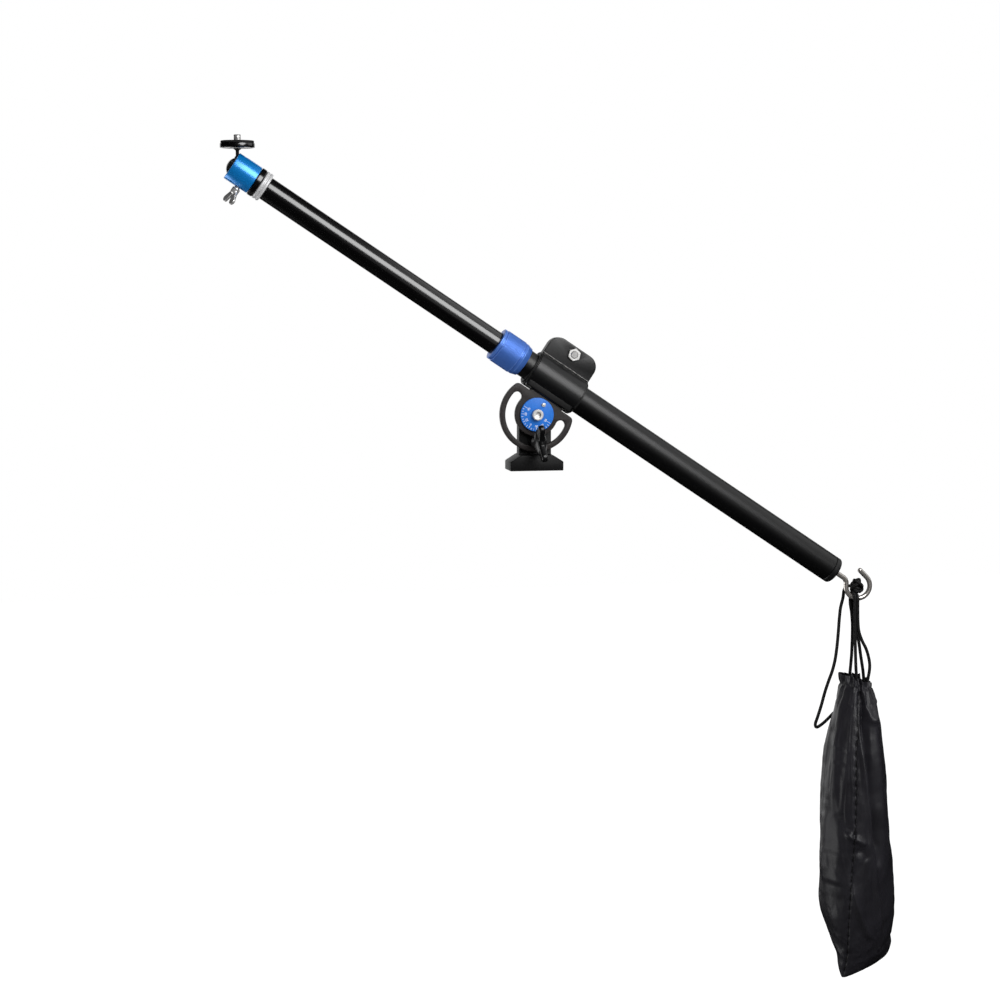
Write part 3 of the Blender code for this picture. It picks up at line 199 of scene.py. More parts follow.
def smooth_route(route, step):
    """Points about a step apart on a smooth curve through a route's own points."""
    points = [Vector(point) for point in route]
    ends = [2 * points[0] - points[1]] + points + [2 * points[-1] - points[-2]]
    line = []
    for before, start, end, after in zip(ends, ends[1:], ends[2:], ends[3:]):
        count = max(1, round((end - start).length / step))
        for i in range(count):
            t = i / count
            line.append(0.5 * (2 * start + (end - before) * t
                               + (2 * before - 5 * start + 4 * end - after) * t ** 2
                               + (3 * start - before - 3 * end + after) * t ** 3))
    return line + [points[-1]]


def knot_line():
    """The cord winds about a ball and weaves over and under itself."""
    points = []
    span_of_knot = math.tau - KNOT_OPENING
    for i in range(KNOT_STEPS + 1):
        t = KNOT_OPENING / 2 + span_of_knot * i / KNOT_STEPS
        latitude = KNOT_LATITUDE * math.cos(KNOT_BIGHTS * t)
        radius = KNOT_RADIUS + KNOT_WEAVE * math.sin(2 * KNOT_BIGHTS * t)
        x = radius * math.cos(latitude) * math.cos(KNOT_LEADS * t)
        y = radius * math.cos(latitude) * math.sin(KNOT_LEADS * t)
        z = radius * math.sin(latitude) * KNOT_STRETCH
        points.append(KNOT_CENTRE + Vector((x, y, z)))
    return points


def coil_line():
    """The turns inside the knot, one below the other."""
    points = []
    for i in range(COIL_TURNS * COIL_STEPS + 1):
        turn = math.tau * i / COIL_STEPS
        height = COIL_TOP - 2 * CORD_RADIUS * i / COIL_STEPS
        x = COIL_RADIUS * math.cos(turn)
        y = COIL_RADIUS * math.sin(turn)
        points.append(KNOT_CENTRE + Vector((x, y, height)))
    return points


def length_of(line):
    return sum((end - start).length for start, end in zip(line, line[1:]))


# %% Sweep a cord along its line


def sweep(name, line, radius, sides):
    """A closed tube along a line, with a map that runs round it (U) and along it (V), in metres."""
    shape = bmesh.new()
    layer = shape.loops.layers.uv.new("UVMap")
    side = (line[1] - line[0]).orthogonal().normalized()
    rings, travelled = [], [0.0]
    for i, point in enumerate(line):
        ahead = (line[min(i + 1, len(line) - 1)] - line[max(i - 1, 0)]).normalized()
        side = (side - ahead * side.dot(ahead)).normalized()
        other = ahead.cross(side)
        rings.append([shape.verts.new(point + radius * (math.cos(math.tau * k / sides) * side
                                                        + math.sin(math.tau * k / sides) * other))
                      for k in range(sides)])
        if i:
            travelled.append(travelled[-1] + (point - line[i - 1]).length)
    round_step = math.tau * radius / sides
    for i in range(len(rings) - 1):
        for k in range(sides):
            after = (k + 1) % sides
            face = shape.faces.new((rings[i][k], rings[i][after], rings[i + 1][after], rings[i + 1][k]))
            corners = ((k, i), (k + 1, i), (k + 1, i + 1), (k, i + 1))
            for loop, (turn, row) in zip(face.loops, corners):
                loop[layer].uv = (turn * round_step, travelled[row])
    shape.faces.new(reversed(rings[0]))
    shape.faces.new(rings[-1])
    bmesh.ops.recalc_face_normals(shape, faces=shape.faces)
    mesh = bpy.data.meshes.new(name)
    shape.to_mesh(mesh)
    shape.free()
    mesh.shade_smooth()
    cord = bpy.data.objects.new(name, mesh)
    bpy.context.scene.collection.objects.link(cord)
    return cord


def cord_piece(name, line):
    cord = sweep(name, line, CORD_RADIUS, CORD_SIDES)
    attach(cord, "bag")
    return cord


cords = []
for name, node, line, far_end, lay in (
        ("bag_cord_left", "drawcord_left", smooth_route(LEFT_CORD_ROUTE, CORD_STEP), "object", "hanging"),
        ("bag_cord_right", "drawcord_right", smooth_route(RIGHT_CORD_ROUTE, CORD_STEP), "object", "hanging"),
        ("bag_cord_loop", "drawcord_loop", smooth_route(LOOP_CORD_ROUTE, CORD_STEP), "object", "hanging"),
        ("bag_knot", "cord_knot", knot_line(), "knot", "taut")):
    cord = cord_piece(name, line)
    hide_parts(node)
    cords.append(cord)
    print(name, round(length_of(line) * 1000), "mm long")
cords.append(cord_piece("bag_knot_core", coil_line()))

# %% [markdown]
# ## Finishes
# Each finish is a material made of nodes, so it needs no picture. A noise gives cast paint its grain
# and moulded plastic its fine texture. A noise that is stretched round the boom gives turned metal its
# fine lines. The size of every pattern is a length in metres on the real piece.

# %% Helpers for finishes


def new_finish(name, colour, roughness, metallic=0.0, gloss=0.5):
    material = bpy.data.materials.new(name)
    material.use_nodes = True
    shader = material.node_tree.nodes["Principled BSDF"]
    shader.inputs["Base Color"].default_value = (*colour, 1)
    shader.inputs["Roughness"].default_value = roughness
    shader.inputs["Metallic"].default_value = metallic
    shader.inputs["Specular IOR Level"].default_value = gloss
    return material


def new_node(material, kind, **settings):
    node = material.node_tree.nodes.new(kind)
    for name, value in settings.items():
        setattr(node, name, value)
    return node


def join_sockets(material, output, target):
    material.node_tree.links.new(output, target)


def shader_of(material):
    return material.node_tree.nodes["Principled BSDF"]


def own_coordinates(material, place=None, stretch=(1, 1, 1), use_map=False):
    """Object or map coordinates, turned into a place and then stretched."""
    source = new_node(material, "ShaderNodeTexCoord").outputs["UV" if use_map else "Object"]
    if place is not None:
        turned = new_node(material, "ShaderNodeMapping")
        back = place.inverted()
        turned.inputs["Location"].default_value = back.to_translation()
        turned.inputs["Rotation"].default_value = back.to_euler()
        join_sockets(material, source, turned.inputs["Vector"])
        source = turned.outputs["Vector"]
    stretched = new_node(material, "ShaderNodeMapping")
    stretched.inputs["Scale"].default_value = stretch
    join_sockets(material, source, stretched.inputs["Vector"])
    return stretched.outputs["Vector"]


def add_noise(material, coordinates, size, detail=3.0):
    texture = new_node(material, "ShaderNodeTexNoise")
    texture.inputs["Scale"].default_value = 1 / size
    texture.inputs["Detail"].default_value = detail
    join_sockets(material, coordinates, texture.inputs["Vector"])
    return texture.outputs["Fac"]


def add_relief(material, height, depth, strength=1.0):
    bump = new_node(material, "ShaderNodeBump")
    bump.inputs["Distance"].default_value = depth
    bump.inputs["Strength"].default_value = strength
    join_sockets(material, height, bump.inputs["Height"])
    join_sockets(material, bump.outputs["Normal"], shader_of(material).inputs["Normal"])


def vary_colour(material, value, low, high, start=0.35, end=0.65):
    ramp = new_node(material, "ShaderNodeValToRGB")
    ramp.color_ramp.elements[0].position = start
    ramp.color_ramp.elements[0].color = (*low, 1)
    ramp.color_ramp.elements[1].position = end
    ramp.color_ramp.elements[1].color = (*high, 1)
    join_sockets(material, value, ramp.inputs["Fac"])
    join_sockets(material, ramp.outputs["Color"], shader_of(material).inputs["Base Color"])
    return ramp


def vary_roughness(material, value, low, high):
    spread = new_node(material, "ShaderNodeMapRange")
    spread.inputs["To Min"].default_value = low
    spread.inputs["To Max"].default_value = high
    join_sockets(material, value, spread.inputs["Value"])
    join_sockets(material, spread.outputs["Result"], shader_of(material).inputs["Roughness"])


# %% Black finishes
GRAIN = 0.0006
FINE_GRAIN = 0.00035


def painted_casting(name, low, high, roughness, gloss, size, depth):
    material = new_finish(name, low, roughness, gloss=gloss)
    height = add_noise(material, own_coordinates(material), size)
    vary_colour(material, height, low, high)
    vary_roughness(material, height, roughness, roughness + 0.08)
    add_relief(material, height, depth)
    return material


cast_black = painted_casting("cast_black_paint", (0.003, 0.003, 0.0034), (0.006, 0.006, 0.0064), 0.30, 0.5,
                             GRAIN, 0.00002)
base_black = painted_casting("base_black_paint", (0.003, 0.003, 0.0034), (0.006, 0.006, 0.0064), 0.44, 0.2,
                             GRAIN, 0.00003)
plate_black = painted_casting("plate_black_paint", (0.018, 0.0145, 0.014), (0.026, 0.0215, 0.021), 0.44, 0.4,
                              FINE_GRAIN, 0.00003)
moulded_black = painted_casting("moulded_black", (0.003, 0.003, 0.0035), (0.005, 0.005, 0.0055), 0.26, 0.5,
                                FINE_GRAIN, 0.00001)
inner_black = painted_casting("hidden_black_plastic", (0.012, 0.012, 0.012), (0.018, 0.018, 0.018), 0.5, 0.3,
                              FINE_GRAIN, 0.00002)
cap_black = painted_casting("cap_black_plastic", (0.004, 0.004, 0.0045), (0.007, 0.007, 0.0075), 0.38, 0.5,
                            FINE_GRAIN, 0.00002)


def drawn_tube(name, colour, roughness, gloss):
    """Black anodised tube: fine lines along it and a little unevenness in its gloss."""
    material = new_finish(name, colour, roughness, gloss=gloss)
    lines = add_noise(material, own_coordinates(material, BOOM, (1, 1, 0.03)), 0.0009)
    clouds = add_noise(material, own_coordinates(material), 0.02)
    vary_roughness(material, clouds, roughness - 0.02, roughness + 0.02)
    lighter = tuple(value * 1.5 for value in colour)
    vary_colour(material, lines, colour, lighter)
    add_relief(material, lines, 0.000003, 0.4)
    return material


outer_tube_black = drawn_tube("outer_tube_anodised", (0.0018, 0.0018, 0.0020), 0.38, 0.55)
inner_tube_black = drawn_tube("inner_tube_anodised", (0.0020, 0.0018, 0.0020), 0.20, 1.0)

rubber_black = painted_casting("rubber_black", (0.008, 0.008, 0.008), (0.014, 0.014, 0.014), 0.75, 0.3,
                               FINE_GRAIN, 0.00005)

# %% Metal finishes


def turned_metal(name, colour, roughness, place, metallic=1.0, pitch=0.0002, gloss=0.5, spread=0.05):
    """Metal from a lathe: its fine rings lie square to the place's axis."""
    material = new_finish(name, colour, roughness, metallic=metallic, gloss=gloss)
    rings = add_noise(material, own_coordinates(material, place, (0.02, 0.02, 1)), pitch)
    vary_roughness(material, rings, roughness - spread, roughness + spread)
    add_relief(material, rings, 0.000001, spread * 5)
    return material


def add_clear_coat(material, weight, roughness):
    """A thin glossy layer over the colour."""
    shader_of(material).inputs["Coat Weight"].default_value = weight
    shader_of(material).inputs["Coat Roughness"].default_value = roughness


def plated_steel(name, light, painted_edge_tone, roughness, metallic=1.0):
    """Bright plating with faint clouds in its gloss; its colour changes where it turns away, a painted
    reflection of the surroundings.
    """
    material = new_finish(name, light, roughness, metallic=metallic)
    clouds = add_noise(material, own_coordinates(material), 0.004)
    vary_roughness(material, clouds, roughness - 0.04, roughness + 0.06)
    # Painted reflection: the colour goes from the facing tone to the edge tone as the surface turns away
    # from the view.
    facing = new_node(material, "ShaderNodeLayerWeight")
    facing.inputs["Blend"].default_value = 0.45
    vary_colour(material, facing.outputs["Facing"], light, painted_edge_tone, 0.25, 0.85)
    return material


chrome = plated_steel("chrome_plate", (0.92, 0.91, 0.90), (0.16, 0.15, 0.145), 0.16, 0.72)
zinc = plated_steel("zinc_plate", (0.95, 0.94, 0.93), (0.30, 0.29, 0.28), 0.22, 0.45)
ball_steel = plated_steel("ball_steel", (0.55, 0.54, 0.53), (0.35, 0.34, 0.33), 0.12, 0.97)
# The stem's near-black colour is a painted reflection of dark surroundings, and its turned-away edges are
# painted lighter.
stem_steel = plated_steel("stem_steel", (0.020, 0.019, 0.019), (0.10, 0.10, 0.10), 0.20, 0.5)
nickel = plated_steel("nickel_wire", (0.74, 0.70, 0.66), (0.12, 0.11, 0.10), 0.20, 0.85)
hidden_steel = plated_steel("hidden_steel", (0.60, 0.60, 0.60), (0.30, 0.30, 0.30), 0.35)
silver_ring = turned_metal("silver_turned", (0.64, 0.64, 0.65), 0.42, BOOM, 0.2, spread=0.01)
collar_blue = turned_metal("collar_blue_anodised", (0.068, 0.185, 0.62), 0.35, BOOM, 0.4)
# A light blue painted highlight for the collar's edges.
collar_painted_highlight = turned_metal("collar_painted_highlight_edge", (0.16, 0.32, 0.80), 0.32, BOOM, 0.3)
housing_blue = turned_metal("housing_blue_anodised", (0.0, 0.27, 0.80), 0.31, BOOM, 0.45, spread=0.002)
add_clear_coat(housing_blue, 1.0, 0.23)

dial_blue = new_finish("dial_blue_paint", (0.018, 0.17, 0.66), 0.40, gloss=0.3)
dial_clouds = add_noise(dial_blue, own_coordinates(dial_blue), 0.0012)
vary_colour(dial_blue, dial_clouds, (0.014, 0.155, 0.62), (0.020, 0.190, 0.70))
add_relief(dial_blue, dial_clouds, 0.00001, 0.6)

print_white = new_finish("print_white", (0.82, 0.84, 0.88), 0.5)
print_specks = add_noise(print_white, own_coordinates(print_white), 0.0004)
vary_colour(print_white, print_specks, (0.70, 0.74, 0.84), (0.86, 0.88, 0.92))

nylon_white = new_finish("nylon_white", (0.70, 0.70, 0.67), 0.45)
vary_roughness(nylon_white, add_noise(nylon_white, own_coordinates(nylon_white), 0.002), 0.4, 0.55)

# A faint grey painted highlight for the rims at the sleeve's ends.
painted_rim_highlight = new_finish("painted_rim_highlight", (0.02, 0.02, 0.02), 0.4, metallic=0.6)
vary_colour(painted_rim_highlight, add_noise(painted_rim_highlight, own_coordinates(painted_rim_highlight), 0.003), (0.014, 0.014, 0.014),
            (0.07, 0.07, 0.07), 0.40, 0.75)
# A light grey painted highlight for the line where the clamp's ears leave the sleeve.
painted_edge_highlight = new_finish("painted_edge_highlight", (0.30, 0.29, 0.28), 0.4, metallic=0.6)
vary_colour(painted_edge_highlight, add_noise(painted_edge_highlight, own_coordinates(painted_edge_highlight), 0.0015), (0.10, 0.10, 0.10),
            (0.42, 0.41, 0.40))

# %% Cloth and cord finishes
THREAD = 0.0007
BRAID = 0.0010


def woven_nylon(name, low, high):
    """Plain nylon weave on the piece's own map: two sets of threads cross."""
    material = new_finish(name, low, 0.44, gloss=0.34)
    coordinates = own_coordinates(material, use_map=True)
    waves = []
    for direction in ("X", "Y"):
        wave = new_node(material, "ShaderNodeTexWave", bands_direction=direction)
        wave.inputs["Scale"].default_value = math.tau / 20 / THREAD
        join_sockets(material, coordinates, wave.inputs["Vector"])
        waves.append(wave.outputs["Fac"])
    cross = new_node(material, "ShaderNodeMath", operation="MULTIPLY")
    join_sockets(material, waves[0], cross.inputs[0])
    join_sockets(material, waves[1], cross.inputs[1])
    clouds = add_noise(material, coordinates, 0.03, 5)
    vary_colour(material, clouds, low, high)
    vary_roughness(material, clouds, 0.40, 0.48)
    add_relief(material, cross.outputs["Value"], 0.00003, 0.5)
    return material


def braided_cord(name, low, high):
    """Two sets of strands wind round the cord both ways."""
    material = new_finish(name, low, 0.62, gloss=0.3)
    relief = None
    for turn in (math.radians(40), math.radians(-40)):
        coordinates = own_coordinates(material, use_map=True)
        coordinates.node.inputs["Rotation"].default_value = (0, 0, turn)
        wave = new_node(material, "ShaderNodeTexWave", bands_direction="X")
        wave.inputs["Scale"].default_value = math.tau / 20 / BRAID
        join_sockets(material, coordinates, wave.inputs["Vector"])
        if relief is None:
            relief = wave.outputs["Fac"]
            continue
        larger = new_node(material, "ShaderNodeMath", operation="MAXIMUM")
        join_sockets(material, relief, larger.inputs[0])
        join_sockets(material, wave.outputs["Fac"], larger.inputs[1])
        relief = larger.outputs["Value"]
    vary_colour(material, relief, low, high, 0.3, 0.9)
    add_relief(material, relief, 0.00015)
    return material


bag_nylon = woven_nylon("bag_nylon", (0.0112, 0.0106, 0.0138), (0.0168, 0.0160, 0.0205))
cord_black = braided_cord("cord_braid", (0.002, 0.002, 0.002), (0.007, 0.007, 0.0075))
for cord in cords:
    cord.data.materials.append(cord_black)
print(len(bpy.data.materials), "finishes")

# %% [markdown]
# ## How the pieces are modelled
# Most pieces of the arm come from a lathe, so half of their outline is drawn point by point and spun
# round its axis. Plates are drawn as an outline, filled and extruded. Holes are cut with a boolean.
# Every sharp edge is rounded a little, because an edge without any radius catches no light.

# %% Modelling helpers
TINY = 1e-6


def deselect():
    bpy.ops.object.select_all(action="DESELECT")


def pick(*pieces):
    deselect()
    for piece in pieces:
        piece.select_set(True)
    bpy.context.view_layer.objects.active = pieces[0]


def set_down(name, place):
    """Names the piece that was just made, and moves its points into a place."""
    piece = bpy.context.active_object
    piece.name = name
    piece.data.name = name
    piece.matrix_world = place
    pick(piece)
    bpy.ops.object.transform_apply(location=True, rotation=True, scale=True)
    return piece


def draw_line(points):
    """Edit mode with one line of points: a plane shrinks to a point, which is pulled along."""
    deselect()
    bpy.ops.mesh.primitive_plane_add(size=0.01)
    bpy.ops.object.mode_set(mode="EDIT")
    bpy.ops.mesh.select_all(action="SELECT")
    bpy.ops.mesh.merge(type="CENTER")
    bpy.ops.transform.translate(value=points[0])
    for before, after in zip(points, points[1:]):
        step = [end - start for start, end in zip(before, after)]
        bpy.ops.mesh.extrude_vertices_move(TRANSFORM_OT_translate={"value": step})


def close_mesh():
    bpy.ops.mesh.select_all(action="SELECT")
    bpy.ops.mesh.remove_doubles(threshold=TINY)
    bpy.ops.mesh.normals_make_consistent(inside=False)
    bpy.ops.object.mode_set(mode="OBJECT")


def turn_piece(name, profile, place, steps=96):
    """Spins (height, radius) points about local Z."""
    draw_line([(radius, 0, height) for height, radius in profile])
    bpy.ops.mesh.select_all(action="SELECT")
    bpy.ops.mesh.spin(steps=steps, angle=math.tau, center=(0, 0, 0), axis=(0, 0, 1))
    close_mesh()
    return set_down(name, place)


def plate_piece(name, outline, low, high, place):
    """Fills an outline in local X and Y and extrudes it along local Z."""
    draw_line([(x, y, low) for x, y in list(outline) + [outline[0]]])
    bpy.ops.mesh.select_all(action="SELECT")
    bpy.ops.mesh.remove_doubles(threshold=TINY)
    bpy.ops.mesh.select_all(action="SELECT")
    bpy.ops.mesh.edge_face_add()
    bpy.ops.mesh.extrude_region_move(TRANSFORM_OT_translate={"value": (0, 0, high - low)})
    close_mesh()
    return set_down(name, place)


def block_piece(name, low, high, place):
    deselect()
    middle = [(start + end) / 2 for start, end in zip(low, high)]
    size = [end - start for start, end in zip(low, high)]
    bpy.ops.mesh.primitive_cube_add(size=1, location=middle, scale=size)
    bpy.ops.object.transform_apply(location=True, rotation=True, scale=True)
    return set_down(name, place)


def apply_modifier(piece, modifier):
    pick(piece)
    bpy.ops.object.modifier_apply(modifier=modifier.name)


def join_pieces(name, *pieces):
    pick(*pieces)
    bpy.ops.object.join()
    joined = bpy.context.active_object
    joined.name = name
    joined.data.name = name
    return joined


def combine(piece, tool, operation):
    modifier = piece.modifiers.new("combine", "BOOLEAN")
    modifier.operation = operation
    modifier.solver = "EXACT"
    modifier.object = tool
    apply_modifier(piece, modifier)
    bpy.data.objects.remove(tool, do_unlink=True)


def cut(piece, *tools):
    for tool in tools:
        combine(piece, tool, "DIFFERENCE")


def add(piece, *tools):
    for tool in tools:
        combine(piece, tool, "UNION")


def round_edges(piece, width, segments=2, angle=35):
    modifier = piece.modifiers.new("round", "BEVEL")
    modifier.width = width
    modifier.segments = segments
    modifier.limit_method = "ANGLE"
    modifier.angle_limit = math.radians(angle)
    apply_modifier(piece, modifier)


def ring_piece(name, low, high, inner, outer, place, edge=0.0001, steps=96):
    profile = [(low, inner), (low, outer - edge), (low + edge, outer), (high - edge, outer),
               (high, outer - edge), (high, inner), (low, inner)]
    return turn_piece(name, profile, place, steps)


def pin_piece(name, low, high, radius, place, edge=0.0002, steps=48):
    profile = [(low, 0), (low, radius - edge), (low + edge, radius), (high - edge, radius),
               (high, radius - edge), (high, 0)]
    return turn_piece(name, profile, place, steps)


def hand_over(piece, body, slot, finish, *nodes, smooth=30):
    """Smooths a piece, gives it its finish, ties it to its body and hides the nodes it stands for."""
    pick(piece)
    bpy.ops.object.shade_smooth_by_angle(angle=math.radians(smooth))
    piece.data.materials.clear()
    piece.data.materials.append(finish)
    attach(piece, body)
    if nodes:
        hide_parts(*nodes)
    print(piece.name, len(piece.data.polygons), "faces")
    return piece


def arc(centre, radius, start, end, steps):
    points = []
    for i in range(steps + 1):
        angle = start + (end - start) * i / steps
        points.append((centre[0] + radius * math.cos(angle), centre[1] + radius * math.sin(angle)))
    return points


def hexagon(across_flats, turn=0.0):
    radius = across_flats / 2 / math.cos(math.pi / 6)
    return arc((0, 0), radius, turn, turn + math.tau, 6)[:-1]


# %% [markdown]
# ## The tubes
# The boom is an aluminium tube with a thinner one inside it. A tube is the plainest turned piece: four
# corners of its wall, with the outer ones rounded.

# %% Tubes
TUBE_EDGE = 0.0004
TUBE_WALL = 0.0018
low, high, outer_radius, bore = span("outer_tube", BOOM)
outer_tube = ring_piece("outer_tube_shell", low, high, bore, outer_radius, BOOM, TUBE_EDGE, 128)
hand_over(outer_tube, "boom", "black_anodised", outer_tube_black, "outer_tube")
outer_rear = high

low, high, inner_radius, bore = span("inner_tube", BOOM)
inner_tube = ring_piece("inner_tube_shell", low, high, bore, inner_radius, BOOM, TUBE_EDGE, 128)
hand_over(inner_tube, "inner_arm", "black_anodised", inner_tube_black, "inner_tube")

# %% [markdown]
# ## The twist collar
# Turning this collar squeezes a slotted ring onto the inner tube. Its grip is a knurl: two sets of fine
# grooves wind round it both ways and leave small diamonds. The knurl is real relief here. The band is
# spun with many rows, and each point is lowered where it lies in a groove.

# %% Twist collar
KNURL_STARTS = 62
KNURL_DEPTH = 0.00020
KNURL_LEAD = 0.0042
KNURL_ROWS = 84
KNURL_STEPS = 434
COLLAR_RIM = 0.0022
COLLAR_LIP = 0.0028
CONE_LENGTH = 0.0048
CONE_TIP_OUTER = 0.0136
CONE_TIP_INNER = 0.0133
GROOVE_LENGTH = 0.0034
low, high, collar_radius, collar_bore = span("twist_collar", BOOM)
step = 0.0004
band_radius = collar_radius - step
groove_radius = collar_radius - 2 * step
knurl_start = low + COLLAR_RIM * 1.55 + step
cone_start = high - CONE_LENGTH
knurl_end = cone_start - GROOVE_LENGTH
wide_bore = outer_radius + 0.0003
collar_profile = [(low, collar_bore), (low, band_radius - step), (low + step / 2, band_radius - step * 0.3),
                  (low + step, band_radius), (low + COLLAR_RIM - step / 2, band_radius),
                  (low + COLLAR_RIM, band_radius - step / 2), (low + COLLAR_RIM + step / 3, groove_radius),
                  (knurl_start - step, groove_radius), (knurl_start - step / 4, collar_radius - step / 2)]
collar_profile += [(knurl_start + (knurl_end - knurl_start) * i / KNURL_ROWS, collar_radius)
                   for i in range(KNURL_ROWS + 1)]
collar_profile += [(knurl_end + step / 4, collar_radius - step / 2), (knurl_end + step, groove_radius),
                   (knurl_end + 2 * step, groove_radius), (knurl_end + 2.5 * step, band_radius),
                   (cone_start, band_radius), (cone_start + step / 2, band_radius - step / 4),
                   (high - step / 3, CONE_TIP_OUTER), (high, CONE_TIP_INNER), (high, wide_bore),
                   (low + COLLAR_LIP, wide_bore), (low + COLLAR_LIP, collar_bore), (low, collar_bore)]
collar = turn_piece("blue_twist_collar", collar_profile, WORLD, KNURL_STEPS)


def groove(angle):
    return (0.5 + 0.5 * math.cos(angle)) ** 3


for corner in collar.data.vertices:
    height = corner.co.z
    radius = math.hypot(corner.co.x, corner.co.y)
    if not (knurl_start - TINY < height < knurl_end + TINY and radius > collar_radius - step / 3):
        continue
    angle = math.atan2(corner.co.y, corner.co.x)
    wind = math.tau * (height - knurl_start) / KNURL_LEAD * 3
    depth = max(groove(KNURL_STARTS * angle + wind), groove(KNURL_STARTS * angle - wind)) * KNURL_DEPTH
    corner.co.x *= (radius - depth) / radius
    corner.co.y *= (radius - depth) / radius
collar.data.transform(BOOM)
hand_over(collar, "collar", "blue_anodised", collar_blue, "twist_collar", smooth=50)

# Thin light blue rings at the rim, the knurl's ends and the cone's start are painted highlights.
EDGE_LINE = 0.00045
collar_highlight_lines = []
for place_along in (low + EDGE_LINE, low + COLLAR_RIM - EDGE_LINE, knurl_start, knurl_end, cone_start):
    radius = collar_radius if knurl_start <= place_along <= knurl_end else band_radius
    collar_highlight_lines.append(ring_piece("line", place_along - EDGE_LINE / 2, place_along + EDGE_LINE / 2,
                                   radius - EDGE_LINE, radius + 0.00004, BOOM, EDGE_LINE / 4))
collar_highlight_rings = join_pieces("collar_painted_highlight_rings", *collar_highlight_lines)
hand_over(collar_highlight_rings, "collar", "blue_anodised", collar_painted_highlight)

# %% [markdown]
# ## The end cap and the hook
# A plastic cap closes the rear end. The hook is a nickel-plated wire that leaves the cap through a
# small cone, bends down and goes round. A bevelled curve is the natural way to make a bent wire, and
# its last points get smaller for the rounded tip.

# %% End cap
CAP_EDGE = 0.0024
CAP_BOSS_RADIUS = 0.0060
CAP_BOSS_TIP = 0.0040
CAP_BOSS_HEIGHT = 0.0028
CAP_HOLLOW = 0.006
CAP_WALL = 0.0015
HOOK_WIRE = 0.0023
GAP = 0.0003
cap_start, cap_end = span("end_cap", BOOM)[:2]
cap_face = outer_rear + GAP
end_face = cap_end - CAP_BOSS_HEIGHT
plug_radius = outer_radius - TUBE_WALL
cap_profile = [(cap_start + CAP_HOLLOW, HOOK_WIRE + GAP), (cap_start + CAP_HOLLOW, plug_radius - CAP_WALL),
               (cap_start, plug_radius - CAP_WALL), (cap_start, plug_radius), (cap_face, plug_radius),
               (cap_face, outer_radius - GAP), (cap_face + GAP, outer_radius)]
cap_profile += arc((end_face - CAP_EDGE, outer_radius - CAP_EDGE), CAP_EDGE, math.pi / 2, 0, 8)
cap_profile += [(end_face + 0.0002, CAP_BOSS_RADIUS + 0.0006), (end_face + 0.0008, CAP_BOSS_RADIUS),
                (cap_end - 0.0004, CAP_BOSS_TIP + 0.0002), (cap_end, CAP_BOSS_TIP - 0.0002),
                (cap_end, HOOK_WIRE + GAP), (cap_start + CAP_HOLLOW, HOOK_WIRE + GAP)]
end_cap = turn_piece("tube_end_cap", cap_profile, BOOM, 96)
hand_over(end_cap, "boom", "black_plastic", cap_black, "end_cap")

# %% Hook
HOOK_LOOP_RADIUS = 0.0115
HOOK_BEND_RADIUS = 0.007
HOOK_MOUTH_ANGLE = math.radians(78.4)
HOOK_TAIL = 0.0112
hook_centre = BOOM_SIDE.inverted() @ hook_point
climb = hook_centre.y + HOOK_BEND_RADIUS
reach = HOOK_BEND_RADIUS + HOOK_LOOP_RADIUS
bend_x = hook_centre.x - math.sqrt(reach ** 2 - climb ** 2)
lean = math.asin(climb / reach)
loop_end = math.tau + HOOK_MOUTH_ANGLE
hook_line = [(cap_start, 0), (end_face, 0)]
hook_line += arc((bend_x, -HOOK_BEND_RADIUS), HOOK_BEND_RADIUS, math.pi / 2, lean, 12)
hook_line += arc((hook_centre.x, hook_centre.y), HOOK_LOOP_RADIUS, math.pi + lean, loop_end, 64)[1:]
tip = hook_line[-1]
run = (-math.sin(loop_end), math.cos(loop_end))
TIP_STEPS = 8
TIP_START = 1 - HOOK_WIRE / HOOK_TAIL
tail = [TIP_START * 0.5, TIP_START]
sizes = [1.0] * (len(hook_line) + 2)
for i in range(1, TIP_STEPS + 1):
    swing = math.pi / 2 * i / TIP_STEPS
    tail.append(TIP_START + (1 - TIP_START) * math.sin(swing))
    sizes.append(max(math.cos(swing), 0.02))
hook_line += [(tip[0] + run[0] * HOOK_TAIL * share, tip[1] + run[1] * HOOK_TAIL * share) for share in tail]
wire = bpy.data.curves.new("steel_hook", "CURVE")
wire.dimensions = "3D"
wire.bevel_depth = HOOK_WIRE
wire.bevel_resolution = 8
wire.use_fill_caps = True
spline = wire.splines.new("POLY")
spline.points.add(len(hook_line) - 1)
for spot, (x, y), size in zip(spline.points, hook_line, sizes):
    spot.co = (*(BOOM_SIDE @ Vector((x, y, 0))), 1)
    spot.radius = size
hook = bpy.data.objects.new("steel_hook", wire)
bpy.context.scene.collection.objects.link(hook)
pick(hook)
bpy.ops.object.convert(target="MESH")
hook = bpy.context.active_object
hand_over(hook, "boom", "steel", nickel, "hook", smooth=60)

# %% [markdown]
# ## The clamp
# A cast sleeve holds the boom. It has a flat foot below, and two ears above that a screw pulls
# together. The three shapes are fused, then bored and slit. A thin light grey line of painted highlight
# lies where the ears leave the sleeve, and faint grey rings of painted highlight go round its ends.

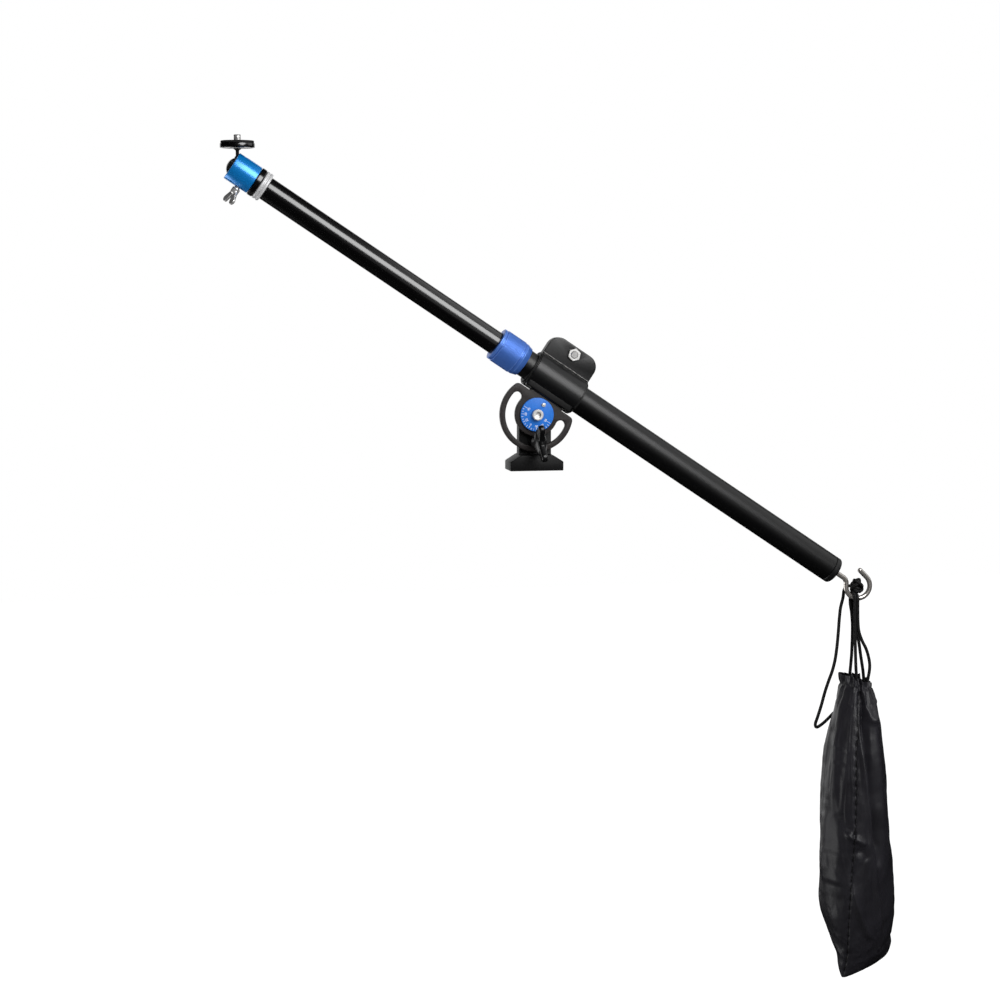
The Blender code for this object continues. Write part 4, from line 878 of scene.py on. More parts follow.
# %% Clamp sleeve
SLEEVE_EDGE = 0.0010
FOOT_DROP = 0.0161
FOOT_WIDTH = 0.0272
EAR_HEIGHT = 0.0371
EAR_HALF = 0.02475
EAR_CORNER = 0.011
EAR_FACE = 0.0047
SLIT_WIDTH = 0.0014
SLEEVE_RADIUS = 0.017
SLEEVE_BORE = 0.0142
NUT_FLATS = 0.010
NUT_POCKET = 0.0026
SCREW_HOLE = 0.0033
FOOT_GROOVE_HALF = 0.0173
FOOT_GROOVE_NEAR = 0.0048
FOOT_GROOVE_FAR = 0.0107
FOOT_GROOVE_DEPTH = 0.002
sleeve_low, sleeve_high = span("clamp_sleeve", BOOM)[:2]
sleeve = turn_piece("clamp_casting", [
    (sleeve_low, 0), (sleeve_low, SLEEVE_RADIUS - SLEEVE_EDGE), (sleeve_low + SLEEVE_EDGE, SLEEVE_RADIUS),
    (sleeve_high - SLEEVE_EDGE, SLEEVE_RADIUS), (sleeve_high, SLEEVE_RADIUS - SLEEVE_EDGE),
    (sleeve_high, 0)], BOOM, 112)
foot = block_piece("foot", (sleeve_low + SLEEVE_EDGE * 1.3, -FOOT_DROP, -FOOT_WIDTH / 2),
                   (sleeve_high - SLEEVE_EDGE * 1.3, 0, FOOT_WIDTH / 2), BOOM_SIDE)
round_edges(foot, 0.0016, 4)
ear_outline = [(-EAR_HALF, 0), (EAR_HALF, 0)]
ear_outline += arc((EAR_HALF - EAR_CORNER, EAR_HEIGHT - EAR_CORNER), EAR_CORNER, 0, math.pi / 2, 16)
ear_outline += arc((EAR_CORNER - EAR_HALF, EAR_HEIGHT - EAR_CORNER), EAR_CORNER, math.pi / 2, math.pi, 16)
ears = plate_piece("ears", ear_outline, -EAR_FACE, EAR_FACE, BOOM_SIDE)
round_edges(ears, 0.0007, 3)
add(sleeve, foot, ears)
half_step = BOOM @ Matrix.Rotation(math.pi / 112, 4, "Z")
cut(sleeve,
    pin_piece("bore", sleeve_low - GAP, sleeve_high + GAP, SLEEVE_BORE, half_step, 0, 112),
    block_piece("slit", (sleeve_low - GAP, 0, -SLIT_WIDTH / 2),
                (sleeve_high + GAP, EAR_HEIGHT + GAP, SLIT_WIDTH / 2), BOOM_SIDE),
    pin_piece("screw_hole", -EAR_FACE - GAP, EAR_FACE + GAP, SCREW_HOLE, CLAMP_SCREW, 0, 32),
    plate_piece("pocket", hexagon(NUT_FLATS + 2 * GAP), -EAR_FACE - GAP, NUT_POCKET - EAR_FACE,
                CLAMP_SCREW),
    block_piece("groove", (-FOOT_GROOVE_HALF, -FOOT_DROP - GAP, FOOT_GROOVE_NEAR),
                (FOOT_GROOVE_HALF, FOOT_GROOVE_DEPTH - FOOT_DROP, FOOT_GROOVE_FAR), BOOM_SIDE))
hand_over(sleeve, "clamp", "cast_black", cast_black, "clamp_sleeve", smooth=24)

# %% Painted highlight lines and rims on the clamp
LINE = 0.00028
# Thin grey strips where the ears leave the sleeve: painted highlight.
painted_highlight_lines = []
for side in (-1, 1):
    face = side * (EAR_FACE + LINE / 2)
    painted_highlight_lines.append(block_piece("line", (-EAR_HALF + 0.0006, SLEEVE_RADIUS + 0.00005, face - LINE),
                                  (EAR_HALF - 0.0006, SLEEVE_RADIUS + LINE * 2, face + LINE), BOOM_SIDE))
# Thin grey rings round the sleeve's ends: painted highlight.
painted_rim_highlights = []
for end in (sleeve_low, sleeve_high):
    inward = math.copysign(SLEEVE_EDGE * 0.5, end)
    painted_rim_highlights.append(ring_piece("line", min(end, end - inward) - LINE / 2, max(end, end - inward) + LINE / 2,
                                 SLEEVE_RADIUS - SLEEVE_EDGE, SLEEVE_RADIUS - SLEEVE_EDGE * 0.45, BOOM,
                                 LINE / 3))
clamp_lines = join_pieces("clamp_painted_highlight_lines", *painted_highlight_lines)
hand_over(clamp_lines, "clamp", "cast_black", painted_edge_highlight)
clamp_rims = join_pieces("clamp_painted_rim_highlights", *painted_rim_highlights)
hand_over(clamp_rims, "clamp", "cast_black", painted_rim_highlight)

# %% [markdown]
# ## Screws, nuts and washers
# Fasteners are small, but they shine, so they are the first thing that the eye finds. A nut is a
# hexagon whose corners are cut by a cone. A socket screw is a turned head with a hexagonal hole.

# %% Fastener helpers


def nut_piece(name, across_flats, low, high, bore_radius, place, turn=0.0):
    nut = plate_piece(name, hexagon(across_flats, turn), low, high, place)
    corner = across_flats / 2 / math.cos(math.pi / 6)
    chamfer = (corner - across_flats / 2) * 0.62
    flat = across_flats / 2 - 0.0001
    cone = turn_piece("cone", [(low - GAP, 0), (low - GAP, flat), (low + chamfer, corner + GAP),
                               (high - chamfer, corner + GAP), (high + GAP, flat), (high + GAP, 0)],
                      place, 64)
    combine(nut, cone, "INTERSECT")
    cut(nut, pin_piece("hole", low - 2 * GAP, high + 2 * GAP, bore_radius, place, 0, 40))
    return nut


def washer_piece(name, node, place):
    low, high, outer, inner = span(node, place)
    return ring_piece(name, low, high, inner, outer, place, 0.0002, 64)


# %% Fasteners
low, high, radius, _ = span("pivot_bolt", DIAL)
HEAD_HEIGHT = 0.004
SHANK = 0.003
KEY_FLATS = 0.0052
bolt = turn_piece("dial_bolt", [
    (low, 0), (low, SHANK - GAP), (low + GAP, SHANK), (high - HEAD_HEIGHT, SHANK),
    (high - HEAD_HEIGHT, radius - 0.0002), (high - HEAD_HEIGHT + 0.0002, radius),
    (high - 0.0007, radius), (high - 0.0003, radius - 0.0002), (high, radius - 0.0007), (high, 0)], DIAL, 72)
cut(bolt, plate_piece("key", hexagon(KEY_FLATS, 0.3), high - HEAD_HEIGHT * 0.6, high + GAP, DIAL))
round_edges(bolt, 0.00012, 2)
hand_over(bolt, "base", "steel", zinc, "pivot_bolt")

DIAL_SCREW_RISE = 0.0104
DIAL_SCREW_SHANK = 0.0012
DIAL_SCREW_HOLE = 0.0015
SCREW_PLACE = DIAL @ Matrix.Translation((0, DIAL_SCREW_RISE, 0))
low, high, radius, _ = span("dial_screw", SCREW_PLACE)
screw = turn_piece("dial_cross_screw", [
    (low, 0), (low, DIAL_SCREW_SHANK), (high - 0.0014, DIAL_SCREW_SHANK), (high - 0.0014, radius - 0.0001),
    (high - 0.0011, radius), (high - 0.0006, radius * 0.92), (high - 0.0002, radius * 0.66),
    (high, radius * 0.3), (high, 0)], SCREW_PLACE, 48)
for turn in (0.4, 0.4 + math.pi / 2):
    slot_place = SCREW_PLACE @ Matrix.Rotation(turn, 4, "Z")
    cut(screw, block_piece("slot", (-radius * 0.6, -0.00022, high - 0.0007),
                           (radius * 0.6, 0.00022, high + GAP), slot_place))
hand_over(screw, "clamp", "steel", zinc, "dial_screw")

low, high = span("clamp_nut", CLAMP_SCREW)[:2]
nut = nut_piece("clamp_hex_nut", NUT_FLATS, low, high, SCREW_HOLE, CLAMP_SCREW, math.radians(12))
hand_over(nut, "clamp", "steel", zinc, "clamp_nut")
low, high = span("pivot_nut", DIAL)[:2]
nut = nut_piece("pivot_hex_nut", NUT_FLATS, low, high, SCREW_HOLE, DIAL)
hand_over(nut, "base", "steel", chrome, "pivot_nut")

for name, node, place, body in (("pivot_steel_washer", "pivot_washer", DIAL, "base"),
                                ("lock_steel_washer", "lock_washer", LOCK, "base"),
                                ("clamp_steel_washer", "clamp_washer", CLAMP_SCREW, "clamp")):
    hand_over(washer_piece(name, node, place), body, "steel", chrome, node)


def stud_piece(name, node, place):
    """A stud with a coarse hint of its thread: shallow rings near both ends."""
    low, high, radius, _ = span(node, place)
    pitch = 0.0010
    depth = 0.00018
    profile = [(low, 0), (low, radius - 2 * depth), (low + pitch / 2, radius)]
    rows = int((high - low - 2 * pitch) / pitch)
    for i in range(rows):
        start = low + pitch + i * pitch
        profile += [(start, radius), (start + pitch / 2, radius - depth)]
    profile += [(high - pitch / 2, radius), (high, radius - 2 * depth), (high, 0)]
    return turn_piece(name, profile, place, 40)


for name, node, place, body in (("lock_threaded_stud", "lock_stud", LOCK, "lock"),
                                ("clamp_threaded_stud", "clamp_stud", CLAMP_SCREW, "clamp_screw"),
                                ("camera_threaded_stud", "camera_screw", BALL, "camera_mount")):
    hand_over(stud_piece(name, node, place), body, "steel", chrome, node)

# %% [markdown]
# ## The tilt plate
# The plate is a thick D with an arc slot. The lock screw slides in the slot while the arm tilts. The
# outline and the slot are arcs about the pivot, and the edges are rounded so that they catch light.

# %% Tilt plate
PLATE_RADIUS = 0.033
PLATE_SHOULDER = 0.0149
PLATE_CORNER = 0.004
NECK = 0.017
TONGUE_TOP = 0.0186
SLOT_RADIUS = 0.0238
SLOT_HALF = 0.0044
SLOT_RISE = math.radians(9)
plate_back, plate_front = span("tilt_plate", PLATE_SIDE)[:2]
corner_angle = math.asin((PLATE_SHOULDER - PLATE_CORNER) / (PLATE_RADIUS - PLATE_CORNER))
corner_x = (PLATE_RADIUS - PLATE_CORNER) * math.cos(corner_angle)
corner_y = PLATE_SHOULDER - PLATE_CORNER
outline = [(-NECK, PLATE_SHOULDER), (-NECK, TONGUE_TOP), (NECK, TONGUE_TOP), (NECK, PLATE_SHOULDER)]
outline += arc((corner_x, corner_y), PLATE_CORNER, math.pi / 2, corner_angle, 8)
outline += arc((0, 0), PLATE_RADIUS, corner_angle, -math.pi - corner_angle, 110)[1:-1]
outline += arc((-corner_x, corner_y), PLATE_CORNER, math.pi - corner_angle, math.pi / 2, 8)
plate = plate_piece("tilt_plate_casting", outline, plate_back, plate_front, PLATE_SIDE)
first, last = SLOT_RISE, -math.pi - SLOT_RISE
slot_outline = arc((0, 0), SLOT_RADIUS + SLOT_HALF, first, last, 90)
left_end = (SLOT_RADIUS * math.cos(last), SLOT_RADIUS * math.sin(last))
right_end = (SLOT_RADIUS * math.cos(first), SLOT_RADIUS * math.sin(first))
slot_outline += arc(left_end, SLOT_HALF, last, last - math.pi, 14)[1:-1]
slot_outline += arc((0, 0), SLOT_RADIUS - SLOT_HALF, last, first, 70)
slot_outline += arc(right_end, SLOT_HALF, first + math.pi, first, 14)[1:-1]
cut(plate, plate_piece("slot", slot_outline, plate_back - GAP, plate_front + GAP, PLATE_SIDE))
round_edges(plate, 0.0006, 3, 50)
cut(plate, pin_piece("pivot_hole", plate_back - GAP, plate_front + GAP, SCREW_HOLE, DIAL, 0, 40),
    pin_piece("screw_hole", plate_back - GAP, plate_front + GAP, DIAL_SCREW_HOLE, SCREW_PLACE, 0, 24))
hand_over(plate, "clamp", "cast_black", plate_black, "tilt_plate", smooth=28)

# %% [markdown]
# ## The dial
# A blue disc shows the tilt. Its scale runs from 90 over 0 to 90 on the half that faces away from the
# boom, with a mark every 10 degrees and a number every 30. The marks are thin raised prints, so they
# stay when the model is used elsewhere.

# %% Dial
low, high, dial_radius, _ = span("dial", DIAL)
DIAL_EDGE = 0.0005
dial = turn_piece("blue_dial", [
    (low, SCREW_HOLE), (low, dial_radius - GAP), (low + GAP, dial_radius), (high - DIAL_EDGE, dial_radius),
    (high - DIAL_EDGE * 0.3, dial_radius - DIAL_EDGE * 0.3), (high, dial_radius - DIAL_EDGE),
    (high, SCREW_HOLE), (low, SCREW_HOLE)], DIAL, 128)
cut(dial, pin_piece("screw_hole", low - GAP, high + GAP, DIAL_SCREW_HOLE, SCREW_PLACE, 0, 24))
hand_over(dial, "clamp", "blue_dial", dial_blue, "dial")

# %% Dial marks
PRINT = 0.00006
MARK_OUTER = 0.0143
MARK_WIDTH = 0.00034
MARK_SHORT = 0.0016
MARK_LONG = 0.0026
MARK_LAST = 0.0042
NUMBER_RADIUS = 0.0103
NUMBER_SIZE = 0.0027
NUMBER_INWARD = 0.0014
NUMBER_BOLDER = 0.00003
prints = []
for degrees in range(-90, 91, 10):
    turn = DIAL @ Matrix.Rotation(math.radians(degrees - 90), 4, "Z")
    length = MARK_SHORT if abs(degrees) % 30 else MARK_LONG
    if abs(degrees) == 90:
        length = MARK_LAST
    prints.append(block_piece("mark", (MARK_OUTER - length, -MARK_WIDTH / 2, high - PRINT),
                              (MARK_OUTER, MARK_WIDTH / 2, high + PRINT), turn))
    if abs(degrees) % 30:
        continue
    deselect()
    bpy.ops.object.text_add()
    number = bpy.context.active_object
    number.data.body = str(abs(degrees))
    number.data.size = NUMBER_SIZE
    number.data.extrude = PRINT
    number.data.align_x = "CENTER"
    number.data.align_y = "CENTER"
    number.data.offset = NUMBER_BOLDER
    bpy.ops.object.convert(target="MESH")
    number = bpy.context.active_object
    radius = NUMBER_RADIUS - (NUMBER_INWARD if abs(degrees) == 90 else 0)
    spot = Matrix.Translation((radius, 0, high))
    number.matrix_world = turn @ spot @ Matrix.Rotation(-math.pi / 2, 4, "Z")
    pick(number)
    bpy.ops.object.transform_apply(location=True, rotation=True, scale=True)
    prints.append(number)
dial_print = join_pieces("dial_scale_print", *prints)
hand_over(dial_print, "clamp", "blue_dial", print_white, smooth=1)

# %% [markdown]
# ## The wing knobs
# The two wing knobs are moulded in one piece, so nothing on them has a hard inner corner. The hub and
# the wings are joined, turned into one skin by a voxel remesh, and smoothed until the corners melt.

# %% Wing knobs
KNOB_HUB_RADIUS = 0.0065
KNOB_HUB_LENGTH = 0.019
KNOB_HUB_TOP = 0.0048
KNOB_REACH = 0.0121
KNOB_HEIGHT = 0.0245
KNOB_LOBE = 0.0042
KNOB_THICKNESS = 0.0055
KNOB_VALLEY = 0.0205
KNOB_SWELL = (0.0128, 0.0054, 0.0085)
KNOB_LEAN = math.radians(6)
KNOB_VOXEL = 0.00032


def wing_outline(root, low, reach, height, lobe, valley):
    right = arc((reach, height), lobe, math.radians(-35), math.radians(140), 24)
    left = [(-x, z) for x, z in reversed(right)]
    return [(-root, low), (root, low)] + right + [(0, valley)] + left


def melt(piece, voxel, rounds):
    """One closed skin round everything, then smoothed."""
    pick(piece)
    piece.data.remesh_voxel_size = voxel
    bpy.ops.object.voxel_remesh()
    bpy.ops.object.mode_set(mode="EDIT")
    bpy.ops.mesh.select_all(action="SELECT")
    bpy.ops.mesh.vertices_smooth(factor=0.5, repeat=rounds)
    bpy.ops.object.mode_set(mode="OBJECT")


def knob_piece(name, node, place, stud_radius):
    start = span(node, place)[0]
    top = start + KNOB_HUB_LENGTH
    hub = turn_piece(name, [
        (start, 0), (start, KNOB_HUB_RADIUS), (start + KNOB_HUB_LENGTH * 0.35, KNOB_HUB_RADIUS),
        (top - 0.0012, KNOB_HUB_TOP), (top, KNOB_HUB_TOP - 0.0012), (top, 0)], place, 64)
    upright = place @ Matrix.Rotation(math.pi / 2, 4, "X")
    outline = wing_outline(KNOB_HUB_TOP, start + KNOB_HUB_LENGTH * 0.3, KNOB_REACH, start + KNOB_HEIGHT,
                           KNOB_LOBE, start + KNOB_VALLEY)
    wings = plate_piece("wings", outline, -KNOB_THICKNESS / 2, KNOB_THICKNESS / 2, upright)
    round_edges(wings, 0.0018, 4)
    deselect()
    bpy.ops.mesh.primitive_uv_sphere_add(segments=40, ring_count=24, radius=1, scale=KNOB_SWELL)
    bpy.ops.object.transform_apply(location=False, rotation=True, scale=True)
    swell = set_down("swell", place @ Matrix.Translation((0, 0, start + KNOB_HUB_LENGTH * 0.72)))
    hub = join_pieces(name, hub, wings, swell)
    melt(hub, KNOB_VOXEL, 9)
    cut(hub, pin_piece("bore", start - 0.001, start + 0.0113, stud_radius + GAP, place, 0, 32))
    return hub


knob = knob_piece("lock_wing_knob", "lock_knob", LOCK @ Matrix.Rotation(KNOB_LEAN, 4, "Z"), 0.0025)
hand_over(knob, "lock", "black_plastic", moulded_black, "lock_knob", smooth=45)
knob = knob_piece("clamp_wing_knob", "clamp_knob", CLAMP_SCREW, 0.003)
hand_over(knob, "clamp_screw", "black_plastic", moulded_black, "clamp_knob", smooth=45)

# %% [markdown]
# ## The base
# The base is one casting: a broad foot with sloping shoulders, and an upright with a round top. Its
# two sockets open downwards.

# %% Base block
BASE_HALF = 0.024
BASE_SIDE = 0.008
BASE_SHOULDER = 0.014
UPRIGHT_HALF = 0.0145
base_low, base_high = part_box("base_block")
UPRIGHT_FRONT = -0.0045
UPRIGHT_BACK = 0.0075
LOCK_HOLE = 0.0028
SOCKET_DEPTH = 0.010
SOCKET_OFFSET = 0.009
LARGE_SOCKET = 0.00476
SMALL_SOCKET = 0.00318
FACING = place_at((0, 0, 0), (1, 0, 0), FRONT)
pivot_height = pivot_point.z
block = plate_piece("base_casting", [
    (-BASE_HALF, 0), (BASE_HALF, 0), (BASE_HALF, BASE_SIDE), (UPRIGHT_HALF, BASE_SHOULDER),
    (-UPRIGHT_HALF, BASE_SHOULDER), (-BASE_HALF, BASE_SIDE)], base_low.y, base_high.y, FACING)
upright_outline = [(UPRIGHT_HALF, BASE_SIDE)] + arc((0, pivot_height), UPRIGHT_HALF, 0, math.pi, 48)
upright_outline += [(-UPRIGHT_HALF, BASE_SIDE)]
upright = plate_piece("upright", upright_outline, -UPRIGHT_BACK, -UPRIGHT_FRONT, FACING)
add(block, upright)
round_edges(block, 0.0007, 3, 30)
cut(block,
    pin_piece("pivot_hole", -UPRIGHT_BACK - GAP, -UPRIGHT_FRONT + GAP, SCREW_HOLE, DIAL, 0, 40),
    pin_piece("lock_hole", -UPRIGHT_BACK - GAP, -UPRIGHT_FRONT + GAP, LOCK_HOLE, LOCK, 0, 40),
    pin_piece("large_socket", -GAP, SOCKET_DEPTH, LARGE_SOCKET,
              Matrix.Translation((-SOCKET_OFFSET, 0, 0)), 0, 48),
    pin_piece("small_socket", -GAP, SOCKET_DEPTH, SMALL_SOCKET,
              Matrix.Translation((SOCKET_OFFSET, 0, 0)), 0, 48))
hand_over(block, "base", "cast_black", base_black, "base_block", smooth=28)

# %% [markdown]
# ## The ball head
# A blue shell holds a steel ball, and a wing screw presses a seat against it. A black ring and a
# silver plug with two bands join the head to the tube. The stem of the ball carries a round plate
# with a rubber pad, and the camera's thread goes onto its stud.

# %% Plug and base ring
low, high, plug_outer, plug_bore = span("tube_front_plug", BOOM)
inner_front = span("inner_tube", BOOM)[0]
NOTCH = 0.0007
middle = (low + inner_front - GAP) / 2
back_face = inner_front - GAP
plug_inner = inner_radius - TUBE_WALL
plug_profile = [(low, plug_bore), (low, plug_outer - NOTCH)]
for start, end in ((low, middle - NOTCH / 2), (middle + NOTCH / 2, back_face)):
    plug_profile += [(start, plug_outer - NOTCH), (start + NOTCH * 0.4, plug_outer - NOTCH * 0.3),
                     (start + NOTCH, plug_outer), (end - NOTCH, plug_outer),
                     (end - NOTCH * 0.4, plug_outer - NOTCH * 0.3), (end, plug_outer - NOTCH)]
plug_profile += [(back_face, plug_inner), (high, plug_inner), (high, plug_bore), (low, plug_bore)]
plug = turn_piece("silver_front_plug", plug_profile, BOOM, 112)
hand_over(plug, "inner_arm", "silver", silver_ring, "tube_front_plug")

HOUSING_BORE = 0.0103
ring_low, ring_high, ring_radius, ring_bore = span("head_base", BOOM)
ring_front = ring_high - 0.005
head_ring = turn_piece("head_black_ring", [
    (ring_low, ring_bore), (ring_low, HOUSING_BORE - GAP), (ring_front, HOUSING_BORE - GAP),
    (ring_front, ring_radius - 0.0008), (ring_front + 0.0003, ring_radius - 0.0003),
    (ring_front + 0.0008, ring_radius), (ring_high - 0.0008, ring_radius),
    (ring_high - 0.0003, ring_radius - 0.0003), (ring_high, ring_radius - 0.0008), (ring_high, ring_bore),
    (ring_low, ring_bore)], BOOM, 112)
hand_over(head_ring, "inner_arm", "black_anodised", inner_tube_black, "head_base")

# %% Ball housing
BALL_RADIUS = 0.010
NOTCH_RADIUS = 0.0042
NOTCH_SINK = 0.0009
house_low, house_high, house_radius, _ = span("ball_housing", BOOM)
ball_height = (BOOM.inverted() @ ball_point).z
cavity = BALL_RADIUS + GAP
rim_angle = math.atan2(math.sqrt(cavity ** 2 - (ball_height - house_low) ** 2), house_low - ball_height)
EDGE = 0.0007
housing_profile = [(house_high, HOUSING_BORE), (house_high, house_radius - EDGE)]
housing_profile += arc((house_high - EDGE, house_radius - EDGE), EDGE, 0, math.pi / 2, 4)
housing_profile += arc((house_low + EDGE, house_radius - EDGE), EDGE, math.pi / 2, math.pi, 4)
housing_profile += arc((ball_height, 0), cavity, rim_angle, math.pi / 2, 12)
housing_profile += [(house_high, HOUSING_BORE)]
housing = turn_piece("blue_ball_housing", housing_profile, BOOM, 128)
notch_outline = arc((ball_height - NOTCH_SINK, 0), NOTCH_RADIUS, -math.pi / 2, math.pi / 2, 20)
notch_outline += [(house_low - NOTCH_RADIUS, NOTCH_RADIUS), (house_low - NOTCH_RADIUS, -NOTCH_RADIUS)]
NOTCH_PLACE = place_at(boom_point, ALONG, ABOVE)
cut(housing,
    plate_piece("notch", notch_outline, 0.0028, house_radius * 1.5, NOTCH_PLACE),
    pin_piece("screw_hole", HOUSING_BORE * 0.8, house_radius * 1.2, 0.0028, HEAD_SCREW, 0, 32))
hand_over(housing, "inner_arm", "blue_anodised", housing_blue, "ball_housing", smooth=32)

# %% Ball, stem and plate
deselect()
bpy.ops.mesh.primitive_uv_sphere_add(segments=64, ring_count=36, radius=BALL_RADIUS)
bpy.ops.object.mode_set(mode="EDIT")
bpy.ops.mesh.select_all(action="SELECT")
bpy.ops.mesh.bisect(plane_co=(0, 0, BALL_RADIUS * 0.985), plane_no=(0, 0, 1), use_fill=True,
                    clear_outer=True)
bpy.ops.object.mode_set(mode="OBJECT")
ball = set_down("steel_ball", BALL)
hand_over(ball, "ball", "steel", ball_steel, "ball")

low, high = span("ball_stem", BALL)[:2]
STEM = 0.0015
STEM_FOOT = 0.0026
STEM_FLARE = 0.0034
stem_profile = [(low, 0), (low - GAP, STEM_FOOT), (low + 0.0006, STEM_FOOT * 0.9),
                (low + 0.0014, STEM), (high - 0.0026, STEM), (high - 0.0018, STEM * 1.15),
                (high - 0.0010, STEM_FLARE * 0.85), (high - 0.0006, STEM_FLARE), (high, STEM_FLARE),
                (high, 0)]
stem = turn_piece("steel_stem", stem_profile, BALL, 48)
hand_over(stem, "stem", "steel", stem_steel, "ball_stem")

low, high, plate_radius, _ = span("camera_plate", BALL)
PLATE_EDGE = 0.0006
camera_plate = turn_piece("round_camera_plate", [
    (low, 0), (low, 0.0060), (low + 0.0003, 0.0064), (low + 0.0003, plate_radius - 0.0016),
    (low, plate_radius - 0.0012), (low, plate_radius - PLATE_EDGE),
    (low + PLATE_EDGE * 0.3, plate_radius - PLATE_EDGE * 0.3), (low + PLATE_EDGE, plate_radius),
    (high - PLATE_EDGE, plate_radius), (high - PLATE_EDGE * 0.3, plate_radius - PLATE_EDGE * 0.3),
    (high, plate_radius - PLATE_EDGE), (high, 0.0034), (high - 0.0024, 0.0034), (high - 0.0024, 0)],
    BALL, 112)
hand_over(camera_plate, "camera_mount", "black_anodised", inner_tube_black, "camera_plate")

low, high, pad_radius, pad_bore = span("camera_pad", BALL)
pad_profile = [(low, pad_bore), (low, pad_radius), (high - 0.0004, pad_radius), (high, pad_radius - 0.0004)]
PAD_RIDGES = 6
for i in range(PAD_RIDGES):
    start = pad_radius - 0.0014 - i * 0.0015
    pad_profile += [(high, start), (high - 0.0003, start - 0.0003), (high - 0.0003, start - 0.0006),
                    (high, start - 0.0009)]
pad_profile += [(high, pad_bore), (low, pad_bore)]
pad = turn_piece("rubber_pad", pad_profile, BALL, 112)
hand_over(pad, "camera_mount", "rubber", rubber_black, "camera_pad")

# %% Head wing screw
HEAD_HUB = 0.0036
HEAD_HUB_LENGTH = 0.0055
HEAD_SHANK = 0.0025
HEAD_WING_REACH = 0.0052
HEAD_WING_HEIGHT = 0.0115
HEAD_WING_LOBE = 0.0031
HEAD_WING_HALF = 0.0012
HEAD_SCREW_TURN = math.radians(60)
tip_low = span("head_wing_screw", HEAD_SCREW)[0]
hub_start = house_radius + HEAD_HUB * 0.35
hub_end = hub_start + HEAD_HUB_LENGTH
SCREW_TURN = HEAD_SCREW @ Matrix.Rotation(HEAD_SCREW_TURN, 4, "Z")
screw = turn_piece("head_wing_bolt", [
    (tip_low, 0), (tip_low, HEAD_SHANK), (hub_start, HEAD_SHANK), (hub_start, HEAD_HUB),
    (hub_end - 0.0011, HEAD_HUB), (hub_end, HEAD_HUB * 0.7), (hub_end, 0)], SCREW_TURN, 48)
upright = SCREW_TURN @ Matrix.Rotation(math.pi / 2, 4, "X")
outline = wing_outline(HEAD_HUB * 0.8, hub_start + HEAD_HUB_LENGTH * 0.25, HEAD_WING_REACH,
                       hub_start + HEAD_WING_HEIGHT, HEAD_WING_LOBE, hub_end)
wings = plate_piece("wings", outline, -HEAD_WING_HALF, HEAD_WING_HALF, upright)
round_edges(wings, 0.0006, 3)
screw = join_pieces("head_wing_bolt", screw, wings)
melt(screw, 0.00022, 5)
hand_over(screw, "head_screw", "steel", chrome, "head_wing_screw", smooth=50)

# %% [markdown]
# ## Pieces that stay hidden
# The liner, the bush, the collet and the seats show only through a slit or from an odd side. Their
# solids have the right shape already, so they only get a finish.

# %% Finishes for the remaining solids
remaining = {
    "sleeve_liner": inner_black, "inner_guide_bush": inner_black, "friction_washer": nylon_white,
    "collet": nylon_white, "ball_seat": nylon_white, "hook_nut": hidden_steel, "head_stud": hidden_steel,
}
for node, finish in remaining.items():
    solid = frame["nodes"][node]
    solid.data.materials.clear()
    solid.data.materials.append(finish)

# %% [markdown]
# ## The weight bag
# A drawstring pouch of thin black nylon, seen from its side seam. It is made as a shell of rings that
# follow its outline, gathered at the mouth and closed in a slanting seam at the bottom. The cloth is
# then let go in a short simulation, in which it is a little too large for its shape, so it
# wrinkles as real cloth does. The seam's puckers and its stitches come last.

# %% The bag's outline
BAG_SECTIONS = (
    (-0.1920, 0.3040, 0.0125, 0.0150, math.radians(4)),
    (-0.2050, 0.3050, 0.0143, 0.0210, math.radians(8)),
    (-0.2190, 0.3060, 0.0178, 0.0270, math.radians(14)),
    (-0.2390, 0.3056, 0.0223, 0.0350, math.radians(16)),
    (-0.2570, 0.3046, 0.0259, 0.0405, math.radians(17)),
    (-0.2750, 0.3045, 0.0285, 0.0450, math.radians(17)),
    (-0.3230, 0.3061, 0.0312, 0.0520, math.radians(19)),
    (-0.3820, 0.3092, 0.0336, 0.0550, math.radians(25)),
    (-0.4120, 0.3107, 0.0336, 0.0550, math.radians(28)),
    (-0.4300, 0.3139, 0.0292, 0.0545, math.radians(32)),
    (-0.4470, 0.3168, 0.0228, 0.0535, math.radians(36)),
    (-0.4600, 0.3185, 0.0170, 0.0515, math.radians(40)),
    (-0.4690, 0.3178, 0.0105, 0.0490, math.radians(42)),
    (-0.4745, 0.3159, 0.0016, 0.0460, math.radians(43)),
)
BAG_TOP = -0.1946
BAG_AROUND = 240
BAG_CROWDING = 0.25
BAG_ROWS = 192
BAG_SQUARENESS = 0.92
BAG_SEAM = math.radians(-90)
PLEATS = 13
CINCH_HEIGHT = -0.2045
BOTTOM_FALL = 0.0056
CLOTH_GIRTH = 0.296
CLOTH_LENGTH = 0.29


def slope(rows, i, k):
    before, after = rows[max(i - 1, 0)], rows[min(i + 1, len(rows) - 1)]
    return (after[k] - before[k]) / (after[0] - before[0])


def section_at(height):
    """Centre, half thickness, half width and turn of the bag at a height, between its sections."""
    rows = BAG_SECTIONS
    height = min(height, rows[0][0])
    i = 0
    while i < len(rows) - 2 and height < rows[i + 1][0]:
        i += 1
    step = rows[i + 1][0] - rows[i][0]
    t = (height - rows[i][0]) / step
    values = []
    for k in (1, 2, 3, 4):
        values.append((2 * t ** 3 - 3 * t ** 2 + 1) * rows[i][k] + (3 * t ** 2 - 2 * t ** 3) * rows[i + 1][k]
                      + (t ** 3 - 2 * t ** 2 + t) * step * slope(rows, i, k)
                      + (t ** 3 - t ** 2) * step * slope(rows, i + 1, k))
    return values


def soft_step(value, start, end):
    t = min(max((value - start) / (end - start), 0), 1)
    return t * t * (3 - 2 * t)


